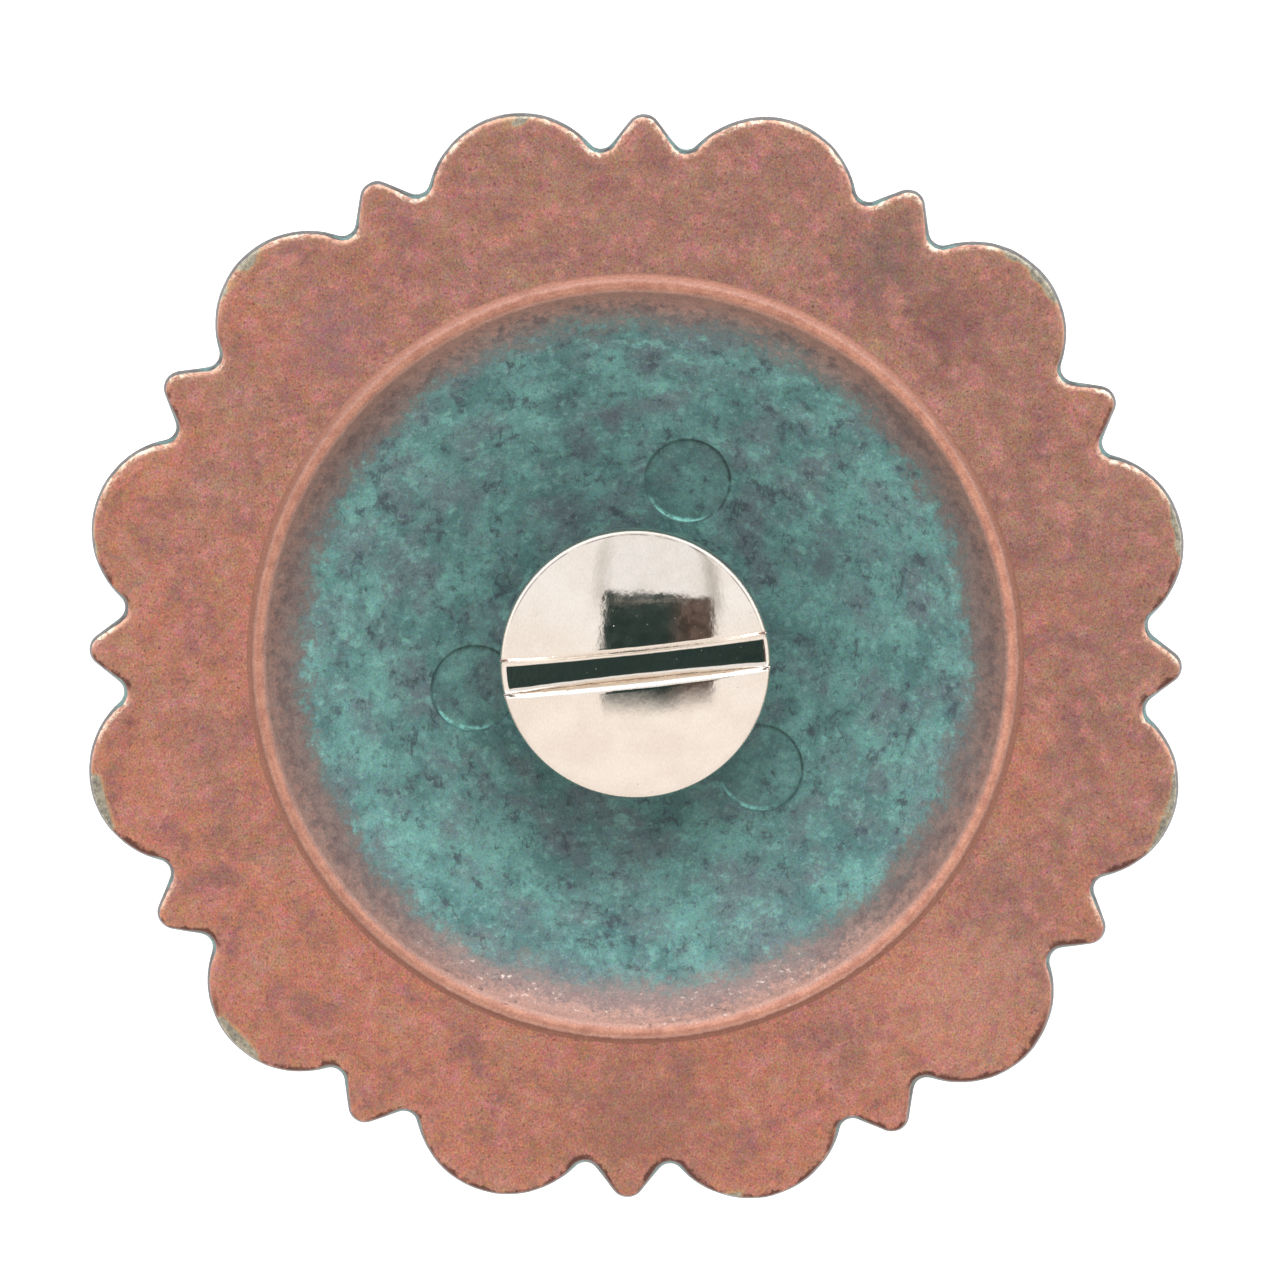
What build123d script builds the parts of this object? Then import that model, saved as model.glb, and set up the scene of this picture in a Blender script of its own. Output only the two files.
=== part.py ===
from build123d import *
import math
import os

# A screw-back concho: a cast metal ornament that is screwed through a leather strap.
# It lies on its front, as it rests by itself, with its back up. +Z is the back's outward
# normal, and the origin is on the axis, in the plane that the crown ring rests on.
# Sizes are in millimetres.

# Scalloped outline, seen along Z: a round lobe, then a small point, and so on round.
LOBE_COUNT = 12
OVERALL_D = 38.1       # across two opposite lobes
POINT_IN = 0.53        # a point's tip stands this far inside the circle round the lobes
POINT_R = 0.6          # the tip's rounding
POINT_W = 2.89         # between the centres of the two valley arcs beside a point
VALLEY_IN = 1.65       # a valley's foot stands this far inside that circle
VALLEY_R = 0.45

# Section of the rim, from the back face to the front face.
RIM_T = 1.5
WIDEST_DROP = 0.45     # back face to the widest line of the edge
BACK_IN = 0.12         # the back face stands in this far from the widest line
FRONT_IN = 0.22        # and the front face this far
BACK_EDGE_R = 0.1
FRONT_EDGE_R = 0.15

# Front: a low dome with a ring at its crown, a half-round ring at its foot, a berry on
# each lobe and a ridge on each point.
CROWN_LIFT = 3.5       # crown ring's crest to the rim's front face
CROWN_RING_R = 6.5
CROWN_BEAD_R = 0.7
DOME_IN = 0.1          # the dome's middle stands in this far from the crown ring's crest
DOME_EDGE_H = 0.3      # the dome's edge above the rim's front face
FOOT_BEAD_R = 0.9
BERRY_IN = 0.95        # a berry's foot stands in this far from its lobe's edge
BERRY_H = 0.55
BERRY_ROOT = 0.3       # how far it reaches into the rim
RIDGE_R = 0.32
RIDGE_FOOT_GAP = 0.7   # between the foot ring and the ridge
RIDGE_END_IN = 0.75    # the ridge stops this far short of the point's tip

# Back: a dished recess with a thin raised lip, and three round pin marks in its floor.
LAND_W = 4.58          # flat of the rim, from a valley's foot to the lip's crest
LIP_W = 0.54
LIP_H = 0.15
WALL_RUN = 1.15        # width of the recess's curved wall
WALL_DEPTH = 0.9
FLOOR_T = 1.5          # metal on the axis, between the dome and the recess floor
MARK_D = 2.95
MARK_DEPTH = 0.1
MARK_RING_R = 5.86
# Columns: share of MARK_RING_R, degrees from +X.
MARK_SPOTS = ((1.03, 74.1), (0.97, 194.6), (1.0, 316.9))

# Slotted screw: number 8 thread, 32 turns to the inch.
THREAD_D = 4.16
THREAD_PITCH = 25.4 / 32
THREAD_NECK = 0.35     # plain stretch under the head
TIP_CHAMFER = 0.35
HEAD_D = 9.15
HEAD_EDGE_T = 0.8
HEAD_DOME_H = 1.0
HEAD_EDGE_R = 0.12
SLOT_W = 1.1
SLOT_DEPTH = 1.15
SLOT_BEVEL = 0.1
SLOT_DEG = 7.1

# Threaded post, cast in one with the plate, and the screw's fit in it.
POST_OUT = 0.35        # the post stands this far out of the back face
POST_WALL = 0.87
POST_TOP_CHAMFER = 0.2
POST_FOOT_R = 0.5
BORE_FLOOR_T = 1.05    # metal on the axis, between the dome and the bore's end
MOUTH_CHAMFER = 0.2
THREAD_CLEARANCE = 0.05
SEAT_CLEARANCE = 0.02  # head to post
TIP_CLEARANCE = 0.28   # shank to the bore's end

# What follows from these.
SECTOR_DEG = 360 / LOBE_COUNT
LOBE_LINE_DEG = SECTOR_DEG / 2
EDGE_R = OVERALL_D / 2
TIP_R = EDGE_R - POINT_IN
FRONT_Z = CROWN_LIFT
BACK_Z = FRONT_Z + RIM_T
POST_TOP_Z = BACK_Z + POST_OUT
FLOOR_Z = DOME_IN + FLOOR_T
BORE_END_Z = DOME_IN + BORE_FLOOR_T
LIP_R = EDGE_R - VALLEY_IN - LAND_W
FOOT_RING_R = LIP_R
RECESS_R = LIP_R - LIP_W / 2
FLOOR_EDGE_R = RECESS_R - WALL_RUN
FLOOR_RISE = BACK_Z - WALL_DEPTH - FLOOR_Z
BORE_R = THREAD_D / 2 + THREAD_CLEARANCE
POST_R = BORE_R + POST_WALL


def sphere_radius(half_width, rise):
    """Radius of the sphere whose cap has this half width and rise."""
    return (half_width**2 + rise**2) / (2 * rise)


def cap_drop(radius, sphere_r):
    """How far a sphere's surface falls away at this radius from its pole."""
    return sphere_r - math.sqrt(sphere_r**2 - radius**2)


def polar(radius, degrees):
    angle = math.radians(degrees)
    return radius * math.cos(angle), radius * math.sin(angle)


def at(radius, height):
    return Vector(radius, 0, height)


def chain(*points):
    return [Line(a, b) for a, b in zip(points, points[1:])]


def lathe(*edges):
    """Turns a closed outline in the XZ plane round the Z axis."""
    return revolve(make_face(Wire(list(edges))), Axis.Z)


# The centre of the valley arc beside the point on +X, and the lobe that it touches.
VALLEY_Y = POINT_W / 2
VALLEY_X = math.sqrt((EDGE_R - VALLEY_IN + VALLEY_R) ** 2 - VALLEY_Y**2)


def lobe_radius():
    """The lobe's arc reaches the overall circle and touches the valley's arc."""
    ux, uy = polar(1, LOBE_LINE_DEG)
    short = EDGE_R - (VALLEY_X * ux + VALLEY_Y * uy)
    across = VALLEY_Y * ux - VALLEY_X * uy
    return (short**2 + across**2 - VALLEY_R**2) / (2 * (short + VALLEY_R))


LOBE_R = lobe_radius()
LOBE_CENTRE_R = EDGE_R - LOBE_R


def outline():
    """The scalloped face. Each sector is a point's arc, its two flanks, two valley arcs
    and a lobe's arc, and each of them touches the next."""
    tip_x = TIP_R - POINT_R
    apart = math.hypot(VALLEY_X - tip_x, VALLEY_Y)
    toward_deg = math.degrees(math.atan2(VALLEY_Y, VALLEY_X - tip_x))
    flank_deg = toward_deg - math.degrees(math.acos((POINT_R + VALLEY_R) / apart))
    lobe_x, lobe_y = polar(LOBE_CENTRE_R, LOBE_LINE_DEG)
    join_deg = math.degrees(math.atan2(VALLEY_Y - lobe_y, VALLEY_X - lobe_x))
    lobe_sweep = 2 * (LOBE_LINE_DEG - join_deg)

    edges = []
    for i in range(LOBE_COUNT):
        sector = [
            CenterArc((tip_x, 0), POINT_R, -flank_deg, 2 * flank_deg),
            CenterArc((lobe_x, lobe_y), LOBE_R, join_deg, lobe_sweep),
        ]
        for side in (1, -1):
            nx, ny = polar(1, side * flank_deg)
            head = (tip_x + POINT_R * nx, POINT_R * ny)
            foot = (VALLEY_X - VALLEY_R * nx, side * VALLEY_Y - VALLEY_R * ny)
            start = side * (flank_deg + 180)
            sweep = side * (join_deg - flank_deg)
            sector.append(Line(head, foot))
            sector.append(CenterArc((VALLEY_X, side * VALLEY_Y), VALLEY_R, start, sweep))
        edges += [Rot(0, 0, i * SECTOR_DEG) * edge for edge in sector]
    return make_face(Wire(edges))


def rim():
    """The scalloped disc, widest a little below its back face."""
    widest = Pos(0, 0, BACK_Z - WIDEST_DROP) * outline()
    lower_h = RIM_T - WIDEST_DROP
    back_taper = math.degrees(math.atan2(BACK_IN, WIDEST_DROP))
    front_taper = math.degrees(math.atan2(FRONT_IN, lower_h))
    disc = extrude(widest, WIDEST_DROP, dir=(0, 0, 1), taper=back_taper)
    disc += extrude(widest, lower_h, dir=(0, 0, -1), taper=front_taper)
    disc = fillet(disc.edges().group_by(Axis.Z)[-1], BACK_EDGE_R)
    return fillet(disc.edges().group_by(Axis.Z)[0], FRONT_EDGE_R)


def dome():
    """The domed front inside the foot ring, filled halfway into the rim."""
    edge_z = FRONT_Z - DOME_EDGE_H
    fill_z = FRONT_Z + RIM_T / 2
    sphere_r = sphere_radius(FOOT_RING_R, edge_z - DOME_IN)
    half = FOOT_RING_R / 2
    low, middle = at(0, DOME_IN), at(half, DOME_IN + cap_drop(half, sphere_r))
    edge = at(FOOT_RING_R, edge_z)
    return lathe(
        ThreePointArc(low, middle, edge),
        *chain(edge, at(FOOT_RING_R, fill_z), at(0, fill_z), low),
    )


def bead(ring_r, bead_r, crest_z):
    """A round ring whose lowest line is at crest_z."""
    return Pos(0, 0, crest_z + bead_r) * Torus(ring_r, bead_r)


def berry():
    """A low round boss, on the Z axis."""
    foot_r = LOBE_R - BERRY_IN
    sphere_r = sphere_radius(foot_r, BERRY_H)
    crest_z = FRONT_Z - BERRY_H
    low, middle = at(0, crest_z), at(foot_r / 2, crest_z + cap_drop(foot_r / 2, sphere_r))
    foot, root_z = at(foot_r, FRONT_Z), FRONT_Z + BERRY_ROOT
    return lathe(
        ThreePointArc(low, middle, foot),
        *chain(foot, at(foot_r, root_z), at(0, root_z), low),
    )


def ridge():
    """A short round ridge that runs out along the point on +X."""
    start_r = FOOT_RING_R + FOOT_BEAD_R + RIDGE_FOOT_GAP
    end_r = TIP_R - RIDGE_END_IN
    bar = Pos((start_r + end_r) / 2, 0, FRONT_Z) * Rot(0, 90, 0) * Cylinder(RIDGE_R, end_r - start_r)
    for radius in (start_r, end_r):
        bar += Pos(radius, 0, FRONT_Z) * Sphere(RIDGE_R)
    return bar


def floor_z(radius):
    """Height of the recess floor at a radius."""
    return FLOOR_Z + cap_drop(radius, sphere_radius(FLOOR_EDGE_R, FLOOR_RISE))


def recess():
    """What the back's recess takes away: a shallow dish with a curved wall."""
    middle, edge = at(FLOOR_EDGE_R / 2, floor_z(FLOOR_EDGE_R / 2)), at(FLOOR_EDGE_R, BACK_Z - WALL_DEPTH)
    slope = math.asin(FLOOR_EDGE_R / sphere_radius(FLOOR_EDGE_R, FLOOR_RISE))
    mouth, open_z = at(RECESS_R, BACK_Z), POST_TOP_Z
    return lathe(
        ThreePointArc(at(0, FLOOR_Z), middle, edge),
        TangentArc(edge, mouth, tangent=(math.cos(slope), 0, math.sin(slope))),
        *chain(mouth, at(RECESS_R, open_z), at(0, open_z), at(0, FLOOR_Z)),
    )


def lip():
    """The thin raised edge round the recess."""
    inner, outer = at(RECESS_R, BACK_Z), at(RECESS_R + LIP_W, BACK_Z)
    root_z = BACK_Z - LIP_H
    return lathe(
        ThreePointArc(inner, at(LIP_R, BACK_Z + LIP_H), outer),
        *chain(outer, at(RECESS_R + LIP_W, root_z), at(RECESS_R, root_z), inner),
    )


def mark(ring_share, degrees):
    """What a pin mark takes away: a shallow round flat, square to the floor there."""
    radius = ring_share * MARK_RING_R
    x, y = polar(radius, degrees)
    lean = math.degrees(math.asin(radius / sphere_radius(FLOOR_EDGE_R, FLOOR_RISE)))
    flat = Cylinder(MARK_D / 2, WALL_DEPTH, align=(Align.CENTER, Align.CENTER, Align.MIN))
    stand = Pos(x, y, floor_z(radius)) * Rot(0, 0, degrees) * Rot(0, -lean, 0)
    return stand * Pos(0, 0, -MARK_DEPTH) * flat


def post():
    """The post on the recess floor, with a rounded foot."""
    foot_r = POST_R + POST_FOOT_R
    foot_z = floor_z(foot_r)
    root_z = foot_z - POST_FOOT_R
    curve_top = at(POST_R, foot_z + POST_FOOT_R)
    bulge = POST_FOOT_R * (1 - math.sqrt(0.5))
    top = at(POST_R - POST_TOP_CHAMFER, POST_TOP_Z)
    return lathe(
        ThreePointArc(at(foot_r, foot_z), at(POST_R + bulge, foot_z + bulge), curve_top),
        *chain(curve_top, at(POST_R, POST_TOP_Z - POST_TOP_CHAMFER), top, at(0, POST_TOP_Z)),
        *chain(at(0, POST_TOP_Z), at(0, root_z), at(foot_r, root_z), at(foot_r, foot_z)),
    )


def bore():
    """The post's blind hole. Its wall is plain, at the thread's outside diameter."""
    mouth_z = POST_TOP_Z - MOUTH_CHAMFER
    mouth_r = BORE_R + MOUTH_CHAMFER
    corners = (
        at(0, BORE_END_Z), at(BORE_R, BORE_END_Z), at(BORE_R, mouth_z), at(mouth_r, POST_TOP_Z),
        at(0, POST_TOP_Z), at(0, BORE_END_Z),
    )
    return lathe(*chain(*corners))


def plate():
    body = rim() + dome()
    body += bead(CROWN_RING_R, CROWN_BEAD_R, 0)
    body += bead(FOOT_RING_R, FOOT_BEAD_R, FRONT_Z - FOOT_BEAD_R)
    boss, bar = Pos(*polar(LOBE_CENTRE_R, LOBE_LINE_DEG), 0) * berry(), ridge()
    for i in range(LOBE_COUNT):
        turn = Rot(0, 0, i * SECTOR_DEG)
        body += turn * boss
        body += turn * bar
    body += lip()
    body -= recess()
    body += post()
    for ring_share, degrees in MARK_SPOTS:
        body -= mark(ring_share, degrees)
    return body - bore()


def thread_side(seat_z, tip_z):
    """Points down the side of the shank: a 60 degree thread, drawn as rings."""
    depth = THREAD_PITCH * 0.54
    major = THREAD_D / 2
    minor = major - depth
    crest, flank = THREAD_PITCH / 8, depth * math.tan(math.radians(30))
    points = [at(minor, seat_z)]
    z = seat_z - THREAD_NECK
    while z - 2 * flank - crest > tip_z + TIP_CHAMFER:
        points += [at(minor, z), at(major, z - flank), at(major, z - flank - crest)]
        points.append(at(minor, z - 2 * flank - crest))
        z -= THREAD_PITCH
    return points + [at(minor, tip_z + TIP_CHAMFER), at(minor - TIP_CHAMFER, tip_z), at(0, tip_z)]


def slot(top_z, sphere_r):
    """What the driver's slot takes away, with a bevel that follows the head's dome."""
    half = SLOT_W / 2
    groove = Box(HEAD_D, SLOT_W, SLOT_DEPTH, align=(Align.CENTER, Align.CENTER, Align.MAX))
    low = math.sqrt(sphere_r**2 - half**2) - SLOT_BEVEL
    side, high = half + 2 * SLOT_BEVEL, low + 2 * SLOT_BEVEL
    section = make_face(Polyline((-half, low), (half, low), (side, high), (-side, high), close=True))
    bevel = Pos(0, 0, -sphere_r) * Rot(0, 0, 90) * revolve(section, Axis.X)
    return Pos(0, 0, top_z) * Rot(0, 0, SLOT_DEG) * (groove + bevel)


def back_screw():
    seat_z = POST_TOP_Z + SEAT_CLEARANCE
    edge_z = seat_z + HEAD_EDGE_T
    top_z = edge_z + HEAD_DOME_H
    head_r = HEAD_D / 2
    sphere_r = sphere_radius(head_r, HEAD_DOME_H)
    top, edge, seat = at(0, top_z), at(head_r, edge_z), at(head_r, seat_z)
    middle = at(head_r / 2, top_z - cap_drop(head_r / 2, sphere_r))
    side = thread_side(seat_z, BORE_END_Z + TIP_CLEARANCE)
    screw = lathe(ThreePointArc(top, middle, edge), *chain(edge, seat, *side, top))
    rims = screw.edges().filter_by(lambda e: e.is_closed).group_by(SortBy.LENGTH)[-1]
    return fillet(rims, HEAD_EDGE_R) - slot(top_z, sphere_r)


def main():
    os.makedirs("parts", exist_ok=True)
    for name, shape in (("concho_plate", plate()), ("back_screw", back_screw())):
        export_step(shape, f"parts/{name}.step")


main()
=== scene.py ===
import math

import bmesh
import bpy
import numpy as np
from mathutils import Matrix, Vector, noise
from mathutils.geometry import delaunay_2d_cdt


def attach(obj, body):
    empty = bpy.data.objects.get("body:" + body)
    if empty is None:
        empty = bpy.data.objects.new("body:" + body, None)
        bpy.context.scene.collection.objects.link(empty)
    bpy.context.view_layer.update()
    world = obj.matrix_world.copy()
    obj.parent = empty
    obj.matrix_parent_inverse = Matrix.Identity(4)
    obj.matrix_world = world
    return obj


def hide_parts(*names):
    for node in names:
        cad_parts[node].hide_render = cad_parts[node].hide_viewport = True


# The back of a screw-back concho: a scalloped copper-plated casting with a green dished
# recess, and the bright slotted screw in its post. Lengths are millimetres until the
# meshes are made, +Z is the back's outward normal and the origin is on the axis.

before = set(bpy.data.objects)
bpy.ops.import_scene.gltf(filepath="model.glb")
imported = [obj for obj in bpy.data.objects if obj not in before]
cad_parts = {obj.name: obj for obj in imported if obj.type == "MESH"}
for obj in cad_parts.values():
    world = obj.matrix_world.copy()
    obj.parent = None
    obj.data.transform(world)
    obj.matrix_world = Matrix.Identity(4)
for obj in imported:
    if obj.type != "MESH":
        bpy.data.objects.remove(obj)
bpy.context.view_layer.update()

# Outline of the casting.
LOBE_COUNT = 12
EDGE_R = 19.05         # circle round the lobes
TIP_R = 18.52          # circle through the points' tips
POINT_R = 0.6
POINT_W = 2.89         # between the centres of the two valley arcs beside a point
VALLEY_IN = 1.65       # a valley's foot stands this far inside the lobes' circle
VALLEY_R = 0.45

# Section of the rim.
FRONT_Z = 3.5
BACK_Z = 5.0
WIDEST_Z = 4.55
BACK_IN = 0.12         # the back face stands in this far from the widest line
FRONT_IN = 0.22        # and the front face this far
BACK_EDGE_R = 0.1
FRONT_EDGE_R = 0.15
EDGE_WEAR = 0.03
EDGE_DROP = 0.015      # the worn back edge sinks by up to this
NICK_DEPTH = 0.12
VALLEY_FLARE = 0.05    # in the valleys the back edge is worn back this much more
LAND_START_IN = 0.5    # the flat of the rim starts this far inside the outline
LAND_DENT = 0.02

# Front.
DOME_Z = 0.1           # the dome's middle
DOME_EDGE_Z = 3.2
DOME_DENT = 0.02
DOME_BLEND = 0.06      # between the dome and the ring at its foot
CROWN_R = 6.5
CROWN_BEAD_R = 0.7
CROWN_FOOT_SLOPE = 3.0
CROWN_BLEND = 0.16
CROWN_PROUD = (0.05, 0.4)      # between these heights above the dome the crown turns bright
FOOT_RING_R = 12.82
FOOT_BEAD_R = 0.9
FOOT_FILLET = 0.15
BERRY_IN = 0.95
BERRY_H = 0.55
BERRY_BLEND = 0.12
RIDGE_R = 0.32
RIDGE_FILLET = 0.1
RIDGE_ENDS = (14.42, 17.77)
HOLLOW_DENT = 0.012

# Back.
LIP_R = 12.82          # the lip's crest
LIP_W = 0.54
LIP_H = 0.15
LIP_WEAR = 0.014
LIP_BITE = 0.1
LIP_SWAY = 0.018
LIP_NICK_DEG = 107.7
WALL_DENT = 0.02
FLOOR_Z = 1.6          # the recess floor on the axis
FLOOR_EDGE_R = 11.4
FLOOR_EDGE_Z = 4.1
FLOOR_DENTS = (0.012, 0.006)   # broad and fine
MARK_R = 1.475
MARK_DEPTH = 0.1
MARK_RING_R = 5.86
MARK_CLEAR = 0.1       # round each mark the floor is meshed in rings as far as this
# Columns: share of MARK_RING_R, degrees from +X, share of MARK_DEPTH.
MARK_SPOTS = ((1.03, 74.1, 1.0), (0.97, 194.6, 1.0), (1.0, 316.9, 0.7))

# Post.
POST_R = 3.0
POST_FOOT_R = 0.5
POST_TOP_Z = 5.35
POST_CHAMFER = 0.2
POST_DENT = 0.012
BORE_R = 2.13
BORE_END_Z = 1.15
BORE_CREST_R = 1.76    # crest of the thread in the bore
BORE_THREAD_IN = (0.25, 0.03)  # the thread stops this far from the bore's end and its mouth

# Screw.
THREAD_PITCH = 25.4 / 32
THREAD_START_Z = 1.4   # the screw's crests and the bore's grooves lie whole turns from here
THREAD_R = 2.08
THREAD_DEPTH = THREAD_PITCH * 0.54
THREAD_GAP = 0.02
HEAD_R = 4.575
HEAD_EDGE_R = 0.19
HEAD_DOME_H = 1.0
SEAT_Z = 5.37          # underside of the head
HEAD_TOP_Z = 7.17
SLOT_W = 1.1
SLOT_FLOOR_Z = 6.02
SLOT_BEVEL = 0.13
SLOT_BEVEL_DEG = 40.0
SLOT_FOOT_R = 0.2
SLOT_FOOT_RISE = 2.4   # the foot rises by distance squared over this many of its radii
SLOT_DRAFT_DEG = 3.5
SLOT_LOW_DRAFT_DEG = 5.0       # the foot of the wall leans more
SLOT_KNEE = 0.38       # share of the wall's height that does
SLOT_WAVER = 0.014
SLOT_DEG = 7.1
NECK_Z = 5.22          # the thread's upper end, just below the head
TIP_Z = 1.43
TIP_CHAMFER = 0.35

# Columns round the outline, for one sector, and round the circles.
TIP_STEPS = 10
FLANK_STEPS = 4
VALLEY_STEPS = 7
LOBE_STEPS = 30
RING_COLUMNS = 372     # round the floor and the dome
POST_COLUMNS = 120
MARK_COLUMNS = 96
THREAD_COLUMNS = 96

# Rows of the meshes: radii on the dome, turns in degrees round the beads, numbers of rows,
# spacings, and places across the slot, from its middle and beyond its edge.
DOME_ROWS = (0.4, 0.9, 1.5, 2.1, 2.8, 3.5, 4.2, 4.8, 5.2, 5.5, 5.7, 5.8)
DOME_FOOT_ROWS = (7.19, 7.23, 7.27, 7.31, 7.36, 7.43, 7.55, 7.9, 8.5, 9.1, 9.7, 10.3, 10.9, 11.4,
                  11.8, 12.05, 12.18)
CROWN_TURNS = (-64, -54, -44, -33, -22, -11, 0, 11, 22, 33, 44, 54, 64)
RING_INNER_TURNS = (-38, -30, -22, -14, -7, 0)
RING_OUTER_TURNS = (9, 19, 29, 39, 49, 59, 68, 76)
RING_FILLET_TURNS = (65, 40, 18, 0)
RIM_ROWS = 19
LAND_ROWS = 10
EDGE_SKIN_ROWS = 3     # so many rows of the flat still have the edge's material
LIP_ROWS = 11
WALL_ROWS = 9
FLOOR_GRID = (0.175, 0.2)      # spacing outward and round
SLOT_ROWS = (0, 0.14, 0.24, 0.27, 0.3, 0.33, 0.36, 0.39, 0.42, 0.44, 0.455, 0.47, 0.485, 0.5,
             0.515, 0.53, 0.54)
SLOT_EDGE_ROWS = (0.0, 0.02, 0.05, 0.08, 0.11, 0.14, 0.18, 0.25)
HEAD_GRID = (0.13, 0.14)
# Columns: radius beyond MARK_R, share of the way down, points round.
MARK_ROWS = ((0.1, 0, 96), (0.04, 0, 96), (0.01, 0.03, 96), (-0.01, 0.15, 96), (-0.035, 0.5, 96),
             (-0.06, 0.85, 96), (-0.08, 0.97, 96), (-0.11, 1, 96), (-0.25, 1, 48), (-0.5, 1, 48),
             (-0.8, 1, 48), (-1.15, 1, 48))

# Paint. Columns of the blots: x, y, size in mm, tone on a screen.
LAND_STAINS = (
    (8.3, 13.9, 1.5, (120, 98, 90)),
    (10.4, 11.6, 1.3, (124, 86, 82)),
    (-17.1, -2.5, 0.35, (120, 80, 70)),
    (9.5, -12.0, 0.5, (136, 92, 84)),
    (-10.4, 10.9, 1.6, (146, 108, 108)),
    (0.0, -15.8, 2.8, (152, 104, 90)),
    (11.0, -11.2, 2.8, (192, 138, 118)),
)
FLOOR_STREAKS = (
    (-1.8, 6.9, 0.55, (72, 76, 88)),
    (-0.9, 7.9, 0.4, (80, 86, 94)),
    (6.4, 3.0, 0.5, (76, 88, 94)),
)
# Strength of the painted highlight along each pin mark's lower left edge.
MARK_GLINT = 0.8
RIM_LINE_R = 4.43      # a turned line between the head's dome and its rounded edge, painted dark only toward the top as a painted reflection
NOISE_SHIFT = (3.7, 1.9, 5.1)
TINT_SHIFT = (2.3, 4.1, 1.7)

# Stage.
PX_PER_MM = 29.53
PICTURE_W = 1280
CAMERA_FAR = 500.0
CAMERA_TILT_DEG = 7.5          # from straight above
CAMERA_TOWARD_DEG = 87.0       # it leans toward this direction from +X
PICTURE_RIGHT_DEG = 0.95       # direction of the picture's right
AIM = (0.155, 0.69)            # middle of the picture from the axis, in picture mm
AIM_Z = 5.0
FLOOR_HALF = 600.0
FLOOR_SINK = 0.02
CEILING_LIGHT = 1.07
WALL_LIGHT = (1.0, 1.8)        # at the picture's bottom and at its top
HORIZON_DARK = 0.75            # how much the foot of the left and right walls is darker
BAND_R = 420.0
BAND_LOW, BAND_HIGH = 14.0, 84.0
CARD_MARGIN = 20
# What the polished head reflects: the camera's dark lens, a hand beside it, and a greyer
# panel between two dark seams. Columns: low and high corner, height, widths of the fades
# at the left, right, low and high edges, raggedness, darkest and lightest glow.
CARDS = {
    "lens_card": (
        ((-68, -152), (108, 108)), 300, (6, 60, 82, 5), 22, (0.02, 0.037, 0.035), (0.045, 0.073, 0.066)),
    "hand_card": (
        ((16, -140), (168, 106)), 301, (44, 14, 70, 5), 26, (0.07, 0.052, 0.044), (0.2, 0.145, 0.125)),
    "streak_card": (
        ((-54, 84), (100, 94)), 299, (8, 8, 3, 3), 34, (0.1, 0.1, 0.09), (0.36, 0.35, 0.32)),
    "panel_card": (
        ((-84, 95), (174, 700)), 303, (14, 12, 5, 60), 4, (0.92, 0.918, 0.915), (1.0, 0.982, 0.98)),
    "left_seam": (
        ((-102, 60), (-50, 420)), 302, (26, 26, 60, 260), 10, (0.72, 0.7, 0.68), (0.8, 0.78, 0.76)),
    "right_seam": (
        ((134, 40), (200, 520)), 302, (32, 32, 60, 260), 10, (0.56, 0.54, 0.52), (0.66, 0.64, 0.62)),
}

TURN = 2 * math.pi
MM = 0.001


# Small helpers

def sphere_radius(half_width, rise):
    return (half_width**2 + rise**2) / (2 * rise)


def cap_drop(radius, sphere_r):
    return sphere_r - np.sqrt(np.maximum(sphere_r**2 - radius**2, 0))


def smooth_step(low, high, value):
    share = np.clip((value - low) / (high - low), 0, 1)
    return share * share * (3 - 2 * share)


def smooth_max(a, b, blend):
    near = np.maximum(blend - np.abs(a - b), 0) / blend
    return np.maximum(a, b) + near * near * blend / 4


def half_round(distance, radius, fillet):
    """Height of a half-round bar at this distance from its line, with a filleted foot."""
    reach = math.sqrt(radius**2 + 2 * radius * fillet)
    touch = reach * radius / (radius + fillet)
    top = np.sqrt(np.maximum(radius**2 - distance**2, 0))
    foot = fillet - np.sqrt(np.maximum(fillet**2 - (reach - distance) ** 2, 0))
    return np.where(distance < touch, top, np.where(distance < reach, foot, 0.0))


def rough(points, size, seed):
    """Seeded smooth noise, about -1 to 1, with features of this size."""
    shifted = np.asarray(points) / size + np.array([3.1, 7.7, 5.3]) * seed
    return np.array([noise.noise(Vector(p)) for p in shifted])


def heading(angle):
    return np.array([math.cos(angle), math.sin(angle)])


def spun(vectors, angle):
    """Rows of x and y, turned by this angle."""
    c, s = heading(angle)
    return vectors @ np.array([[c, s], [-s, c]])


def rounded(corners, radii, steps=6):
    """A line through these corners, with each inner corner rounded by its radius."""
    corners = [np.array(c, float) for c in corners]
    line = [corners[0]]
    for before, corner, after, radius in zip(corners, corners[1:], corners[2:], radii):
        back, ahead = before - corner, after - corner
        back, ahead = back / np.linalg.norm(back), ahead / np.linalg.norm(ahead)
        half = math.acos(np.clip(back @ ahead, -1, 1)) / 2
        if radius == 0 or half > math.radians(89.5):
            line.append(corner)
            continue
        middle = corner + (back + ahead) / np.linalg.norm(back + ahead) * radius / math.sin(half)
        reach = radius / math.tan(half)
        first, last = (math.atan2(*(corner + way * reach - middle)[::-1]) for way in (back, ahead))
        sweep = (last - first + math.pi) % TURN - math.pi
        line += [middle + radius * heading(first + sweep * k / steps) for k in range(steps + 1)]
    return np.array(line + [corners[-1]])


def spread(line, longest):
    """The same line with no stretch longer than this."""
    dense = [line[0]]
    for a, b in zip(line, line[1:]):
        pieces = max(1, math.ceil(np.linalg.norm(b - a) / longest))
        dense += [a + (b - a) * i / pieces for i in range(1, pieces + 1)]
    return np.array(dense)


def circle(radius, height, angles):
    angles = np.asarray(angles)
    heights = np.full(len(angles), height)
    return np.column_stack((radius * np.cos(angles), radius * np.sin(angles), heights))


def even(count):
    return np.arange(count) * TURN / count


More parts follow.
